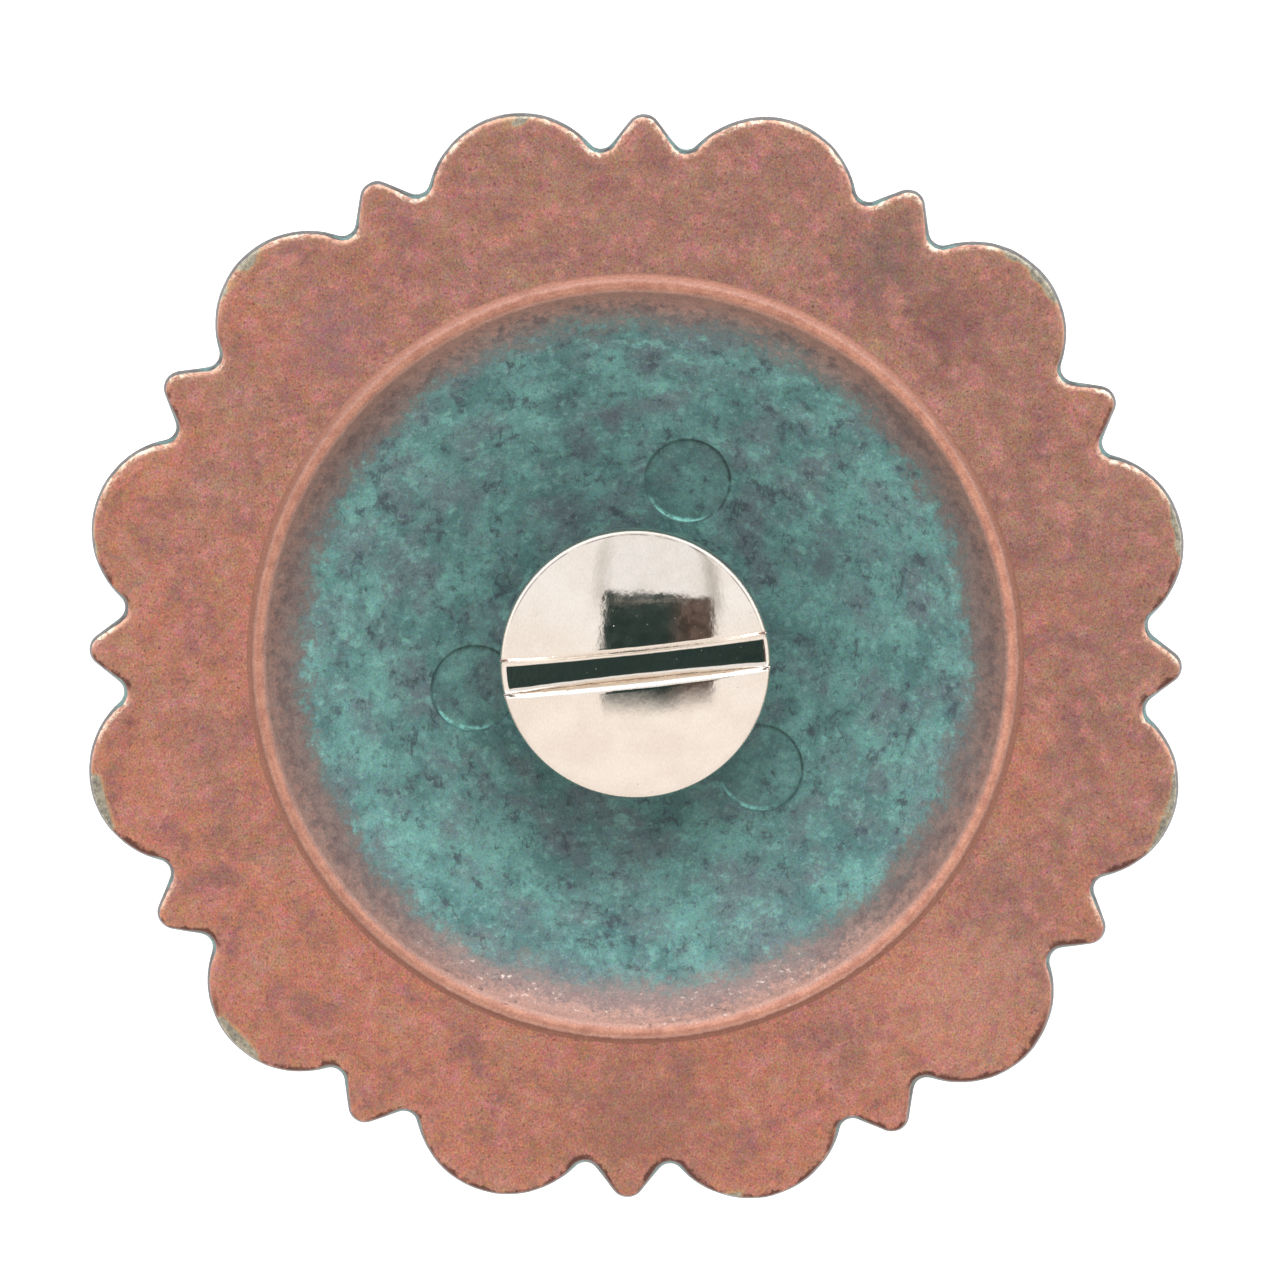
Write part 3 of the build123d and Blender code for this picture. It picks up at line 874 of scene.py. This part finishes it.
def make_screw(material):
    shell = Shell()
    rim, angles = head_part(shell)
    root_r = THREAD_R - THREAD_DEPTH
    section = rounded(
        [(HEAD_R, SLOT_FLOOR_Z - HEAD_EDGE_R - 0.03), (HEAD_R, SEAT_Z), (root_r, SEAT_Z)],
        [HEAD_EDGE_R], steps=4,
    )
    rows = [shell.add(circle(radius, z, angles)) for radius, z in spread(section, 0.45)[:-1]]
    last = shell.stack(rim, rows)

    neck_angles = even(THREAD_COLUMNS)
    neck = shell.add(circle(root_r, SEAT_Z, neck_angles))
    start = int(np.argmin(angles % TURN))
    shell.seam(np.roll(last, -start), np.unwrap(np.roll(angles % TURN, -start)), neck, neck_angles)
    low_z = TIP_Z + TIP_CHAMFER
    high_ring, low_ring = (shell.add(circle(root_r, z, neck_angles)) for z in (NECK_Z, low_z))
    shell.band(neck, high_ring)
    shell.helix(low_ring, high_ring, low_z, NECK_Z, thread_section(THREAD_R, root_r, 0), 0.3)
    end = shell.add(circle(root_r - TIP_CHAMFER, TIP_Z, neck_angles))
    shell.band(low_ring, end)
    shell.fan(end, shell.add([[0, 0, TIP_Z]])[0])
    return shell.build("back_screw_skin", [material])


# Materials

def srgb(red, green, blue):
    """A colour given as on a screen, 0 to 255, as the linear colour a shader takes."""
    linear = []
    for value in (red, green, blue):
        value /= 255
        linear.append(value / 12.92 if value <= 0.04045 else ((value + 0.055) / 1.055) ** 2.4)
    return (*linear, 1.0)


class Value:
    """What a node gives at each place. Sums, products and steps of it are nodes too."""

    def __init__(self, nodes, socket):
        self.nodes, self.socket = nodes, socket

    def __add__(self, other):
        return self.nodes.math("ADD", self, other)

    def __sub__(self, other):
        return self.nodes.math("SUBTRACT", self, other)

    def __mul__(self, other):
        return self.nodes.math("MULTIPLY", self, other)

    def __abs__(self):
        return self.nodes.math("ABSOLUTE", self)

    def ease(self, low, high, start, end, kind="SMOOTHSTEP"):
        """From start to end as this value goes from low to high, smoothly."""
        inputs = {"Value": self, "From Min": low, "From Max": high, "To Min": start, "To Max": end}
        return self.nodes.node("ShaderNodeMapRange", inputs, interpolation_type=kind)

    def rise(self, low, high, end=1.0):
        return self.ease(low, high, 0.0, end)

    def line(self, low, high, start, end):
        return self.ease(low, high, start, end, "LINEAR")


class Nodes:
    """A node tree, with short ways to add to it."""

    def __init__(self, tree):
        self.tree = tree

    def make(self, kind, inputs, **settings):
        node = self.tree.nodes.new(kind)
        for name, value in settings.items():
            setattr(node, name, value)
        for name, value in inputs.items():
            self.feed(node.inputs[name], value)
        return node

    def feed(self, socket, value):
        if isinstance(value, Value):
            self.tree.links.new(value.socket, socket)
        else:
            socket.default_value = value

    def node(self, kind, inputs, output=0, **settings):
        return Value(self, self.make(kind, inputs, **settings).outputs[output])

    def math(self, operation, *values):
        return self.node("ShaderNodeMath", dict(enumerate(values)), operation=operation)

    def vector(self, operation, *parts, output=0, **named):
        inputs = {**dict(enumerate(parts)), **named}
        return self.node("ShaderNodeVectorMath", inputs, output, operation=operation)

    def split(self, vector):
        return [Value(self, s) for s in self.make("ShaderNodeSeparateXYZ", {0: vector}).outputs]

    def mix(self, share, a, b):
        """A mix of two colours. Three numbers are a tone on a screen, four are linear."""
        a, b = (srgb(*c) if isinstance(c, tuple) and len(c) == 3 else c for c in (a, b))
        return self.node("ShaderNodeMix", {0: share, 6: a, 7: b}, 2, data_type="RGBA")

    def blend(self, share, a, b):
        return self.node("ShaderNodeMix", {0: share, 2: a, 3: b}, data_type="FLOAT")


class Paint(Nodes):
    """A principled material whose colour is laid on coat by coat."""

    def __init__(self, name):
        self.material = bpy.data.materials.new(name)
        self.material.use_nodes = True
        super().__init__(self.material.node_tree)
        self.shader = self.tree.nodes["Principled BSDF"]
        self.mm = self.vector("SCALE", self.node("ShaderNodeTexCoord", {}, "Object"), Scale=1 / MM)
        self.x, self.y, self.z = self.split(self.mm)
        self.r = self.vector("LENGTH", self.vector("MULTIPLY", self.mm, (1, 1, 0)), output=1)

    def attribute(self, name):
        return self.node("ShaderNodeAttribute", {}, "Fac", attribute_name=name)

    def noise(self, size, seed, detail=2.0, roughness=0.5, where=None, shift=NOISE_SHIFT, output=0):
        """Noise about 0 to 1. The size is in mm, or three sizes for x, y and z."""
        sizes = size if isinstance(size, tuple) else (size, size, size)
        scale, start = tuple(1 / s for s in sizes), tuple(s * seed for s in shift)
        place = self.vector("MULTIPLY_ADD", self.mm if where is None else where, scale, start)
        return self.noise_at(place, 1.0, detail, roughness, output)

    def noise_at(self, place, scale, detail, roughness, output=0):
        inputs = {"Vector": place, "Scale": scale, "Detail": detail, "Roughness": roughness}
        return self.node("ShaderNodeTexNoise", inputs, output)

    def from_spot(self, x, y, size=1.0):
        """The way from a spot on the back, in units of this size, and its length."""
        away = self.vector("MULTIPLY_ADD", self.mm, (1 / size, 1 / size, 0), (-x / size, -y / size, 0))
        return away, self.vector("LENGTH", away, output=1)

    def coat(self, share, tone):
        self.colour = self.mix(share, self.colour, tone)

    def scale(self, light):
        self.colour = self.vector("SCALE", self.colour, Scale=light)

    def grain(self, amount, size, seed):
        """A fine light and dark grain."""
        self.scale(self.noise(size, seed, 2.5, 0.65).line(0.25, 0.75, 1 - amount, 1 + amount))

    def tint(self, amounts, size, seed, detail):
        """Red, green and blue are each made stronger or weaker by noise."""
        tones = self.noise(size, seed, detail, 0.6, shift=TINT_SHIFT, output=1)
        steps, starts = tuple(2 * a for a in amounts), tuple(1 - a for a in amounts)
        tones = self.vector("MULTIPLY_ADD", tones, steps, starts)
        self.colour = self.vector("MULTIPLY", self.colour, tones)

    def stain(self, stains):
        """Ragged blots."""
        ragged = self.noise(0.8, 7, 3, 0.7).line(0.3, 0.7, -0.6, 0.6)
        for x, y, size, tone in stains:
            far = self.from_spot(x, y, size)[1]
            self.coat((far + ragged).rise(1.5, 0.0, 0.7), tone)

    def bump(self, height, depth, **below):
        inputs = {"Strength": 1.0, "Distance": depth * MM, "Height": height, **below}
        return self.node("ShaderNodeBump", inputs)

    def finish(self, **settings):
        """Gives the shader its colour and these inputs, and returns the material."""
        for name, value in {"Base Color": self.colour, **settings}.items():
            self.feed(self.shader.inputs[name.replace("_", " ")], value)
        return self.material


def copper_land(paint):
    """Matt antiqued copper plate, mottled tan, orange and purple-brown."""
    # The broad tone leans toward the warmer, more orange copper toward the bottom left.
    broad = paint.noise(4.5, 1) + (paint.x * -0.007 + paint.y * -0.012)
    paint.colour = paint.mix(broad.rise(0.3, 0.7), (160, 116, 102), (182, 121, 100))
    clouds = paint.noise(1.6, 2, 3, 0.7)
    paint.coat(clouds.rise(0.5, 0.68, 0.6), (138, 96, 98))
    paint.coat(clouds.rise(0.48, 0.32, 0.5), (174, 136, 114))
    blush = paint.noise(0.9, 3, 3, 0.74)
    paint.coat(blush.rise(0.5, 0.66, 0.6), (194, 132, 124))
    paint.coat(blush.rise(0.48, 0.34, 0.4), (140, 104, 88))
    paint.coat(paint.noise(0.12, 6).rise(0.6, 0.72, 0.6), (104, 64, 58))
    paint.stain(LAND_STAINS)
    paint.tint((0.2, 0.26, 0.28), 0.3, 8, 2)
    paint.tint((0.42, 0.58, 0.66), 0.065, 5, 1)


def green_floor(paint, strokes):
    """Teal patina, broken by purple-grey patches and strokes that run round the recess."""
    broad = paint.noise(1.7, 7, 4, 0.62)
    paint.colour = paint.mix(broad.rise(0.36, 0.64), (70, 108, 107), (93, 139, 134))
    paint.coat(paint.noise(2.0, 8, 4, 0.6, strokes).rise(0.43, 0.66, 0.8), (90, 103, 108))
    stroke = paint.noise(0.75, 9, 5, 0.68, strokes)
    paint.coat(stroke.rise(0.54, 0.68, 0.85), (58, 70, 78))
    paint.coat(stroke.rise(0.46, 0.32, 0.6), (112, 164, 155))
    smudge = paint.noise(0.26, 27, 3, 0.6)
    paint.coat(smudge.rise(0.54, 0.72, 0.55), (60, 80, 82))
    paint.coat(smudge.rise(0.46, 0.3, 0.4), (120, 156, 152))
    crack = abs(paint.noise((0.5, 0.9, 0.9), 10, 1.5) - 0.5)
    paint.coat(crack.rise(0.02, 0.004) * stroke.rise(0.46, 0.58, 0.6), (48, 64, 66))
    paint.tint((0.28, 0.28, 0.28), 0.075, 11, 1)
    # Darker toward the post and lighter toward the wall.
    paint.scale(paint.r.line(5.5, 11.2, 0.88, 1.18))
    paint.stain(FLOOR_STREAKS)


def pin_marks_and_painted_light(paint):
    """A dark line round each pin mark, darker inside. The line is painted shade, strongest on
    the right, and a bright patina-coloured line along the lower left of its edge is a painted highlight."""
    broken = paint.noise(0.35, 46, 3, 0.65).ease(0.36, 0.58, 0.1, 1.0)
    for share, degrees, strength in MARK_SPOTS:
        away, far = paint.from_spot(*mark_centre(share, degrees))
        x, y, _ = paint.split(away)
        paint.coat(far.rise(MARK_R + 0.02, MARK_R - 0.06, 0.22 * strength), (72, 104, 98))
        # Painted shade: a dark line round the mark, strongest on its right side.
        ring = far.rise(MARK_R - 0.1, MARK_R - 0.04) * far.rise(MARK_R + 0.05, MARK_R - 0.01)
        shade_to_right = x.ease(-1.2, 1.2, 0.35, 1.0)
        paint.coat(ring * broken * shade_to_right * (0.7 * strength), (44, 56, 56))
        # Painted highlight: a bright turquoise line along the lower left of the mark's edge.
        glint = (y + x * 0.35).rise(-0.9, -1.35) * far.rise(MARK_R - 0.2, MARK_R - 0.1)
        glint = glint * far.rise(MARK_R - 0.01, MARK_R - 0.06)
        paint.coat(glint * broken * (MARK_GLINT * strength), (142, 214, 204))


def recess_material():
    """The green floor, the purple-brown foot of the wall and the bright copper lip, with painted light on
    the wall toward the bottom and painted light and shade at the lip.
    """
    paint = Paint("antiqued_copper_recess")
    x, y, r = paint.x, paint.y, paint.r
    strokes = paint.node("ShaderNodeCombineXYZ", {0: x, 1: y, 2: r * 0.8})
    ragged_broad = paint.noise(1.8, 12, where=strokes).line(0.2, 0.8, -0.35, 0.35)
    ragged_fine = paint.noise(0.24, 13, 3, 0.7).line(0.2, 0.8, -0.45, 0.45)
    ragged = r + ragged_broad + ragged_fine
    green_floor(paint, strokes)
    pin_marks_and_painted_light(paint)

    brown_noise = paint.noise(0.5, 14, 5, 0.7, strokes)
    brown = paint.mix(brown_noise.rise(0.36, 0.62), (112, 98, 98), (152, 132, 124))
    paint.coat((ragged + brown_noise.ease(0.3, 0.7, -0.4, 0.4)).rise(10.9, 11.6, 0.8), (106, 112, 110))
    paint.coat(ragged.rise(11.3, 11.95), brown)
    paint.coat(abs(x).rise(4.5, 10.0, 0.42) * ragged.rise(10.9, 11.6) * r.rise(12.45, 12.1), (96, 76, 72))
    # Painted light: the wall toward the bottom, which faces the light, paler and pinker.
    paint.coat(y.rise(-8.6, -11.8) * ragged.rise(10.6, 12.0) * 0.6, (154, 130, 127))
    paint.coat((r + ragged_fine).rise(12.0, 12.6, 0.75), (166, 128, 116))
    # Lighter just inside the lip toward the top.
    paint.coat(y.rise(7.5, 11.6) * ragged.rise(11.9, 12.35) * 0.5, (198, 152, 138))
    # Painted light: the wall just inside the lip, toward the bottom where it faces the light, lighter and
    # pinker.
    toward_lit_bottom = y + x * -0.16
    paint.coat(toward_lit_bottom.rise(-8.2, -11.8) * ragged.rise(11.95, 12.5) * 0.6, (208, 164, 150))
    crumbs = paint.noise((0.2, 0.12, 0.2), 47)
    here = brown_noise.rise(0.5, 0.6) * y.rise(-8.6, -11.0) * r.rise(11.3, 11.9)
    paint.coat(crumbs.rise(0.6, 0.66) * here * 0.8, (232, 214, 206))
    paint.coat(crumbs.rise(0.42, 0.35) * here * 0.6, (96, 78, 76))

    line = r + ragged_fine * 0.1
    lip_tones = paint.noise(0.5, 15, 4, 0.65).rise(0.32, 0.62)
    lip = paint.mix(lip_tones, (182, 126, 108), (204, 148, 126))
    # Painted shade: the lip darker toward the left.
    lip = paint.vector("SCALE", lip, Scale=x.ease(11.0, -4.0, 1.0, 0.87))
    paint.coat(line.rise(12.54, 12.7) * line.rise(12.98, 12.84), lip)
    # A darker crease at the lip's foot, with painted light and shade: lighter toward the top, darkest toward
    # the bottom.
    crease_and_shade = line.rise(12.92, 13.02)
    paint.coat(crease_and_shade, paint.mix(y.rise(5.0, 11.5), (150, 104, 88), (173, 123, 106)))
    paint.coat(crease_and_shade * y.rise(-7.0, -11.5, 0.2), (110, 60, 52))

    paint.grain(0.26, 0.07, 21)
    off_floor = ragged.rise(11.4, 12.2)
    return paint.finish(
        Metallic=paint.blend(off_floor, 0.1, 0.45),
        Roughness=paint.blend(off_floor, 0.72, lip_tones.ease(0, 1, 0.5, 0.42)),
        Normal=paint.bump(paint.noise(0.3, 23, 3, 0.75, strokes), 0.022),
    )


def finish_copper(paint, worn=None, on_side=None):
    """The grain, gloss and fine relief that the flat of the rim and its edge share."""
    paint.grain(0.36, (0.06, 0.08, 0.06), 21)
    metallic = 0.5
    gloss = paint.noise(0.5, 22).line(0.3, 0.7, 0.44, 0.6)
    if worn is not None:
        metallic = paint.blend(on_side, 0.5, 0.6)
        gloss = paint.blend(worn * 0.6, paint.blend(on_side, gloss, 0.42), 0.36)
    relief = paint.bump(paint.noise(0.35, 24, 3, 0.75), 0.026)
    return paint.finish(Metallic=metallic, Roughness=gloss, Normal=relief)


def flat_material():
    """The flat copper rim round the lip, with painted light and shade in the crease at the lip's foot."""
    paint = Paint("antiqued_copper_rim")
    copper_land(paint)
    # A darker crease outside the lip, with painted light and shade: lighter toward the top, darkest toward
    # the bottom.
    paint.coat(paint.r.rise(13.22, 13.1) * paint.y.ease(5.0, 11.5, 0.5, 0.35), (142, 98, 84))
    paint.coat(paint.r.rise(13.2, 13.1) * paint.y.rise(-7.0, -11.5, 0.2), (110, 60, 52))
    return finish_copper(paint)


def edge_material():
    """The rim's worn edge, with a painted highlight along the edges that face the picture's top
    and painted shade along those that face its bottom, bare zinc along the lobes, and the dark side wall
    with patina in the valleys."""
    paint = Paint("antiqued_copper_edge")
    edge_in, faces_up = paint.attribute("edge_in"), paint.attribute("faces_up")
    fine = paint.noise(0.24, 16, 3, 0.68)
    ragged = fine.line(0.2, 0.8, -0.35, 0.35)
    copper_land(paint)
    paint.coat(edge_in.rise(0.7, 0.3, 0.2), (190, 140, 116))
    # Painted highlight: the worn line along the edge is laid only where the edge faces the picture's top,
    # toward the light, and turns nearly white there.
    painted_light_share = faces_up.ease(-0.1, 0.7, 0.1, 1.0)
    line_in = edge_in + ragged * 0.35
    worn = line_in.rise(0.29, 0.19) * edge_in.rise(0.03, 0.08) * fine.ease(0.4, 0.56, 0.1, 1.0) * painted_light_share
    painted_highlight_share = painted_light_share * paint.noise(0.8, 30).ease(0.42, 0.58, 0.2, 1.0)
    paint.coat(worn, paint.mix(painted_highlight_share, (206, 150, 126), (246, 222, 200)))
    # Painted shade: a dark, wavering line along the edges that face the picture's bottom.
    waver = paint.noise(0.9, 18, 3).line(0.35, 0.65, -0.08, 0.1)
    paint.coat((line_in - waver).rise(0.26, 0.12) * faces_up.rise(0.05, -0.5, 0.85), (78, 46, 40))

    reach = paint.noise(2.4, 17).rise(0.42, 0.6, 0.46)
    depth = paint.r - 19.0 + reach + ragged * 0.2
    paint.coat(depth.rise(-0.08, 0.04, 0.5), (188, 156, 112))
    zinc = paint.mix(fine.rise(0.35, 0.65), (110, 116, 112), (170, 168, 150))
    paint.coat(depth.rise(0.03, 0.1, 0.85), zinc)

    side_noise = paint.noise((0.7, 0.7, 0.3), 19, 4, 0.65)
    side_tones = side_noise.rise(0.38, 0.62)
    side = paint.mix(side_tones, (54, 48, 48), (80, 84, 84))
    side = paint.mix(side_noise.rise(0.6, 0.7, 0.7), side, (134, 90, 76))
    side = paint.mix(paint.r.rise(17.95, 17.6, 0.9) * side_tones, side, (78, 122, 120))
    low = paint.z + ragged * 0.12
    on_side = low.rise(BACK_Z - 0.08, BACK_Z - 0.18) * edge_in.rise(0.45, 0.38)
    paint.coat(on_side, side)
    return finish_copper(paint, worn, on_side)


def front_material():
    """The ornamented front: rubbed copper on the relief, dark patina in the hollows."""
    paint = Paint("antiqued_copper_front")
    broken = paint.noise(0.5, 31, 5, 0.68)
    raised = paint.attribute("proud") + broken.line(0.3, 0.7, -0.22, 0.22)

    patina = paint.noise(1.1, 32, 6, 0.7)
    paint.colour = paint.mix(patina.rise(0.34, 0.62), (66, 56, 53), (76, 108, 104))
    paint.coat(patina.rise(0.56, 0.7, 0.7), (104, 142, 134))
    smudge = paint.noise(0.35, 37, 4, 0.65)
    paint.coat(smudge.rise(0.5, 0.68, 0.6), (104, 76, 66))
    paint.coat(broken.rise(0.56, 0.66) * smudge.rise(0.5, 0.36) * 0.6, (160, 110, 90))

    clouds = paint.noise(1.2, 33, 5, 0.66)
    plate = paint.mix(clouds.rise(0.34, 0.66), (138, 94, 80), (176, 120, 98))
    worn = paint.mix(clouds.rise(0.3, 0.7), (194, 134, 108), (222, 164, 134))
    paint.coat(raised.rise(0.06, 0.5), plate)
    paint.coat(raised.rise(0.5, 1.0, 0.85), worn)
    paint.coat(smudge.rise(0.62, 0.7) * raised.rise(0.3, 0.7) * 0.7, (92, 64, 56))
    edge_in = paint.attribute("edge_in")
    paint.coat(edge_in.rise(0.5, 0.3, 0.6) * patina.rise(0.4, 0.6), (150, 104, 88))

    paint.grain(0.3, 0.07, 34)
    return paint.finish(
        Metallic=raised.ease(0.0, 0.8, 0.35, 0.9), Roughness=raised.ease(0.1, 0.9, 0.62, 0.34),
        Normal=paint.bump(paint.noise(0.4, 35, 4, 0.7), 0.025),
    )


def post_material():
    """Patina on the post's side, rubbed copper on its top and, paler, in its bore."""
    paint = Paint("antiqued_copper_post")
    patina = paint.noise(0.8, 41, 5, 0.68)
    paint.colour = paint.mix(patina.rise(0.36, 0.64), (84, 78, 76), (90, 126, 121))
    paint.coat(patina.rise(0.6, 0.72, 0.6), (112, 152, 144))
    rubbed = (paint.z + patina.line(0.3, 0.7, -0.4, 0.4)).rise(4.5, 5.2)
    paint.coat(rubbed, (166, 114, 94))
    paint.coat(paint.r.rise(2.12, 1.9, 0.8), (186, 152, 126))
    paint.grain(0.3, 0.07, 43)
    return paint.finish(
        Metallic=paint.blend(rubbed, 0.25, 0.8), Roughness=paint.noise(0.3, 44).line(0.3, 0.7, 0.4, 0.58),
        Normal=paint.bump(paint.noise(0.2, 45, 3, 0.65), 0.014),
    )


def nickel_material():
    """Polished nickel with pits, dust, a haze and a turned line near the head's edge, painted dark only
    toward the top as a painted reflection.
    """
    paint = Paint("nickel_screw")
    smear = paint.noise(1.6, 51, 4, 0.6).rise(0.35, 0.65)
    paint.colour = paint.mix(smear, (241, 234, 226), (235, 226, 216))
    paint.coat(paint.noise(0.16, 52).rise(0.74, 0.79, 0.8), (96, 84, 78))
    turned = paint.r.rise(RIM_LINE_R - 0.035, RIM_LINE_R) * paint.r.rise(RIM_LINE_R + 0.03, RIM_LINE_R)
    # The turned line is painted dark only on the top side of the head, as a painted reflection.
    patchy_painted_reflection = paint.noise(0.6, 57, 3).rise(0.35, 0.6, 0.75) * paint.y.rise(0.5, 2.5)
    paint.coat(turned * patchy_painted_reflection, (110, 92, 80))
    paint.grain(0.07, (0.05, 0.12, 0.1), 53)
    dust = paint.noise(0.07, 58, 1).rise(0.775, 0.795)
    haze = paint.noise(1.1, 54, 4).line(0.3, 0.7, 0.05, 0.1)
    peel = paint.bump(paint.noise(0.5, 55), 0.004)
    return paint.finish(
        Metallic=paint.blend(dust, 1.0, 0.35),
        Roughness=paint.blend(paint.z.rise(5.9, 5.6), paint.blend(dust, haze, 0.6), 0.28),
        Normal=paint.bump(paint.noise((0.12, 0.2, 0.1), 56, 3), 0.0012, Normal=peel),
    )


def paper_material():
    """White paper, lit from behind as well."""
    paint = Paint("white_paper")
    paint.colour = paint.mix(paint.noise(14.0, 61).rise(0.3, 0.7), (249, 249, 249), (253, 253, 253))
    return paint.finish(Roughness=0.9, Emission_Color=paint.colour, Emission_Strength=0.6)


def glowing(paint, share, dark, light):
    """A mottled glow for this share, and clear for the rest."""
    tones = paint.noise(22.0, 63, 2, 0.7).rise(0.35, 0.7)
    glow = paint.node("ShaderNodeEmission", {"Color": paint.mix(tones, (*dark, 1.0), (*light, 1.0))})
    clear = paint.node("ShaderNodeBsdfTransparent", {})
    both = paint.node("ShaderNodeMixShader", {0: share, 1: clear, 2: glow})
    paint.tree.links.new(both.socket, paint.tree.nodes["Material Output"].inputs[0])
    paint.tree.nodes.remove(paint.shader)
    return paint.material


def card_material(name, corners, fades, ragged, dark, light):
    """A mottled glow for what the polished head reflects. The card fades out toward its
    left, right, low and high edges over these widths, and its edges are ragged."""
    paint = Paint(name)
    (x0, y0), (x1, y1) = corners
    jitter = paint.noise_at(paint.mm, 0.11, 2.0, 0.65, output=1)
    jitter = paint.vector("MULTIPLY_ADD", jitter, (ragged, ragged, 0), (-ragged / 2, -ragged / 2, 0))
    x, y, _ = paint.split(paint.vector("ADD", paint.mm, jitter))
    share = x.rise(x0, x0 + fades[0]) * x.rise(x1, x1 - fades[1])
    share = share * y.rise(y0, y0 + fades[2]) * y.rise(y1, y1 - fades[3])
    return glowing(paint, share, dark, light)


def band_material():
    """The dark horizon that polished nickel reflects in the lower views, open toward -Y."""
    paint = Paint("horizon_band")
    edge = (BAND_HIGH - BAND_LOW) * 0.3
    share = paint.z.rise(BAND_LOW, BAND_LOW + edge) * paint.z.rise(BAND_HIGH, BAND_HIGH - edge)
    return glowing(paint, share * paint.y.rise(-140, 60), (0.1, 0.1, 0.1), (0.2, 0.19, 0.18))


# Pieces

plate = make_plate([edge_material(), flat_material(), recess_material(), front_material(), post_material()])
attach(plate, "concho")
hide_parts("concho_plate")

screw = make_screw(nickel_material())
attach(screw, "screw")
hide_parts("back_screw")


# Stage

def stage_sheet(name, points, faces, material, only_reflected=True):
    """A piece of the stage, from points in metres, most often seen in reflections alone."""
    mesh = bpy.data.meshes.new(name)
    mesh.from_pydata(points, [], faces)
    mesh.materials.append(material)
    sheet = in_scene(name, mesh)
    if only_reflected:
        sheet.visible_camera = sheet.visible_diffuse = sheet.visible_shadow = False


def rectangle(low, high, height):
    (x0, y0), (x1, y1) = low, high
    corners = ((x0, y0), (x1, y0), (x1, y1), (x0, y1))
    return [Vector((x, y, height)) * MM for x, y in corners]


def reflected_cards():
    for name, (corners, height, fades, ragged, dark, light) in CARDS.items():
        low, high = np.array(corners) + [[-CARD_MARGIN], [CARD_MARGIN]]
        material = card_material(name, corners, fades, ragged, dark, light)
        stage_sheet(name, rectangle(low, high, height), [range(4)], material)


def horizon_band():
    turns = np.radians(np.linspace(-25, 205, 47))
    points = np.vstack((circle(BAND_R, BAND_LOW, turns), circle(BAND_R, BAND_HIGH, turns))) * MM
    count = len(turns)
    quads = [(k, k + 1, k + 1 + count, k + count) for k in range(count - 1)]
    stage_sheet("horizon_band", points.tolist(), quads, band_material())


def soft_light(name, place, size, power, colour):
    data = bpy.data.lights.new(name, "AREA")
    data.shape = "RECTANGLE"
    data.size, data.size_y = size[0] * MM, size[1] * MM
    data.energy = power
    data.color = colour
    light = in_scene(name, data)
    light.location = Vector(place) * MM
    light.rotation_euler = (-Vector(place)).to_track_quat("-Z", "Y").to_euler()
    light.visible_glossy = False


def set_camera():
    data = bpy.data.cameras.new("camera")
    data.lens = data.sensor_width * CAMERA_FAR * PX_PER_MM / PICTURE_W
    data.clip_start, data.clip_end = 0.01, 5.0
    tilt, level = math.radians(CAMERA_TILT_DEG), math.radians(PICTURE_RIGHT_DEG)
    lean = math.sin(tilt) * heading(math.radians(CAMERA_TOWARD_DEG))
    back = Vector((*lean, math.cos(tilt)))
    right = Vector((*heading(level), 0))
    right = (right - back * right.dot(back)).normalized()
    up = back.cross(right)
    place = Vector((0, 0, AIM_Z)) + right * AIM[0] + up * AIM[1] + back * CAMERA_FAR
    camera = in_scene("camera", data)
    camera.matrix_world = Matrix.Translation(place * MM) @ Matrix((right, up, back)).transposed().to_4x4()
    bpy.context.scene.camera = camera


def set_world():
    """A tent: even cream above, with brighter walls, most so behind the picture's top."""
    world = bpy.data.worlds.new("tent")
    bpy.context.scene.world = world
    world.use_nodes = True
    sky = Nodes(world.node_tree)
    _, across, height = sky.split(sky.node("ShaderNodeTexCoord", {}, "Generated"))
    tones = sky.mix(across.rise(-0.6, 0.7), (1.0, 0.93, 0.875, 1), (0.96, 0.953, 0.955, 1))
    wall_light = across.ease(-0.5, 0.6, *WALL_LIGHT)
    level = sky.blend(height.rise(0.68, 0.4), CEILING_LIGHT, wall_light)
    shade = height.rise(0.26, 0.12, HORIZON_DARK) * abs(across).rise(0.8, 0.5)
    background = world.node_tree.nodes["Background"]
    sky.feed(background.inputs["Color"], tones)
    sky.feed(background.inputs["Strength"], level * sky.math("SUBTRACT", 1.0, shade))


whole_floor = rectangle((-FLOOR_HALF, -FLOOR_HALF), (FLOOR_HALF, FLOOR_HALF), -FLOOR_SINK)
stage_sheet("floor", whole_floor, [range(4)], paper_material(), only_reflected=False)
reflected_cards()
horizon_band()
soft_light("top_light", (20, 260, 230), (260, 140), 0.7, (0.98, 0.98, 1.0))
set_camera()
set_world()
bpy.context.scene.view_settings.view_transform = "Standard"
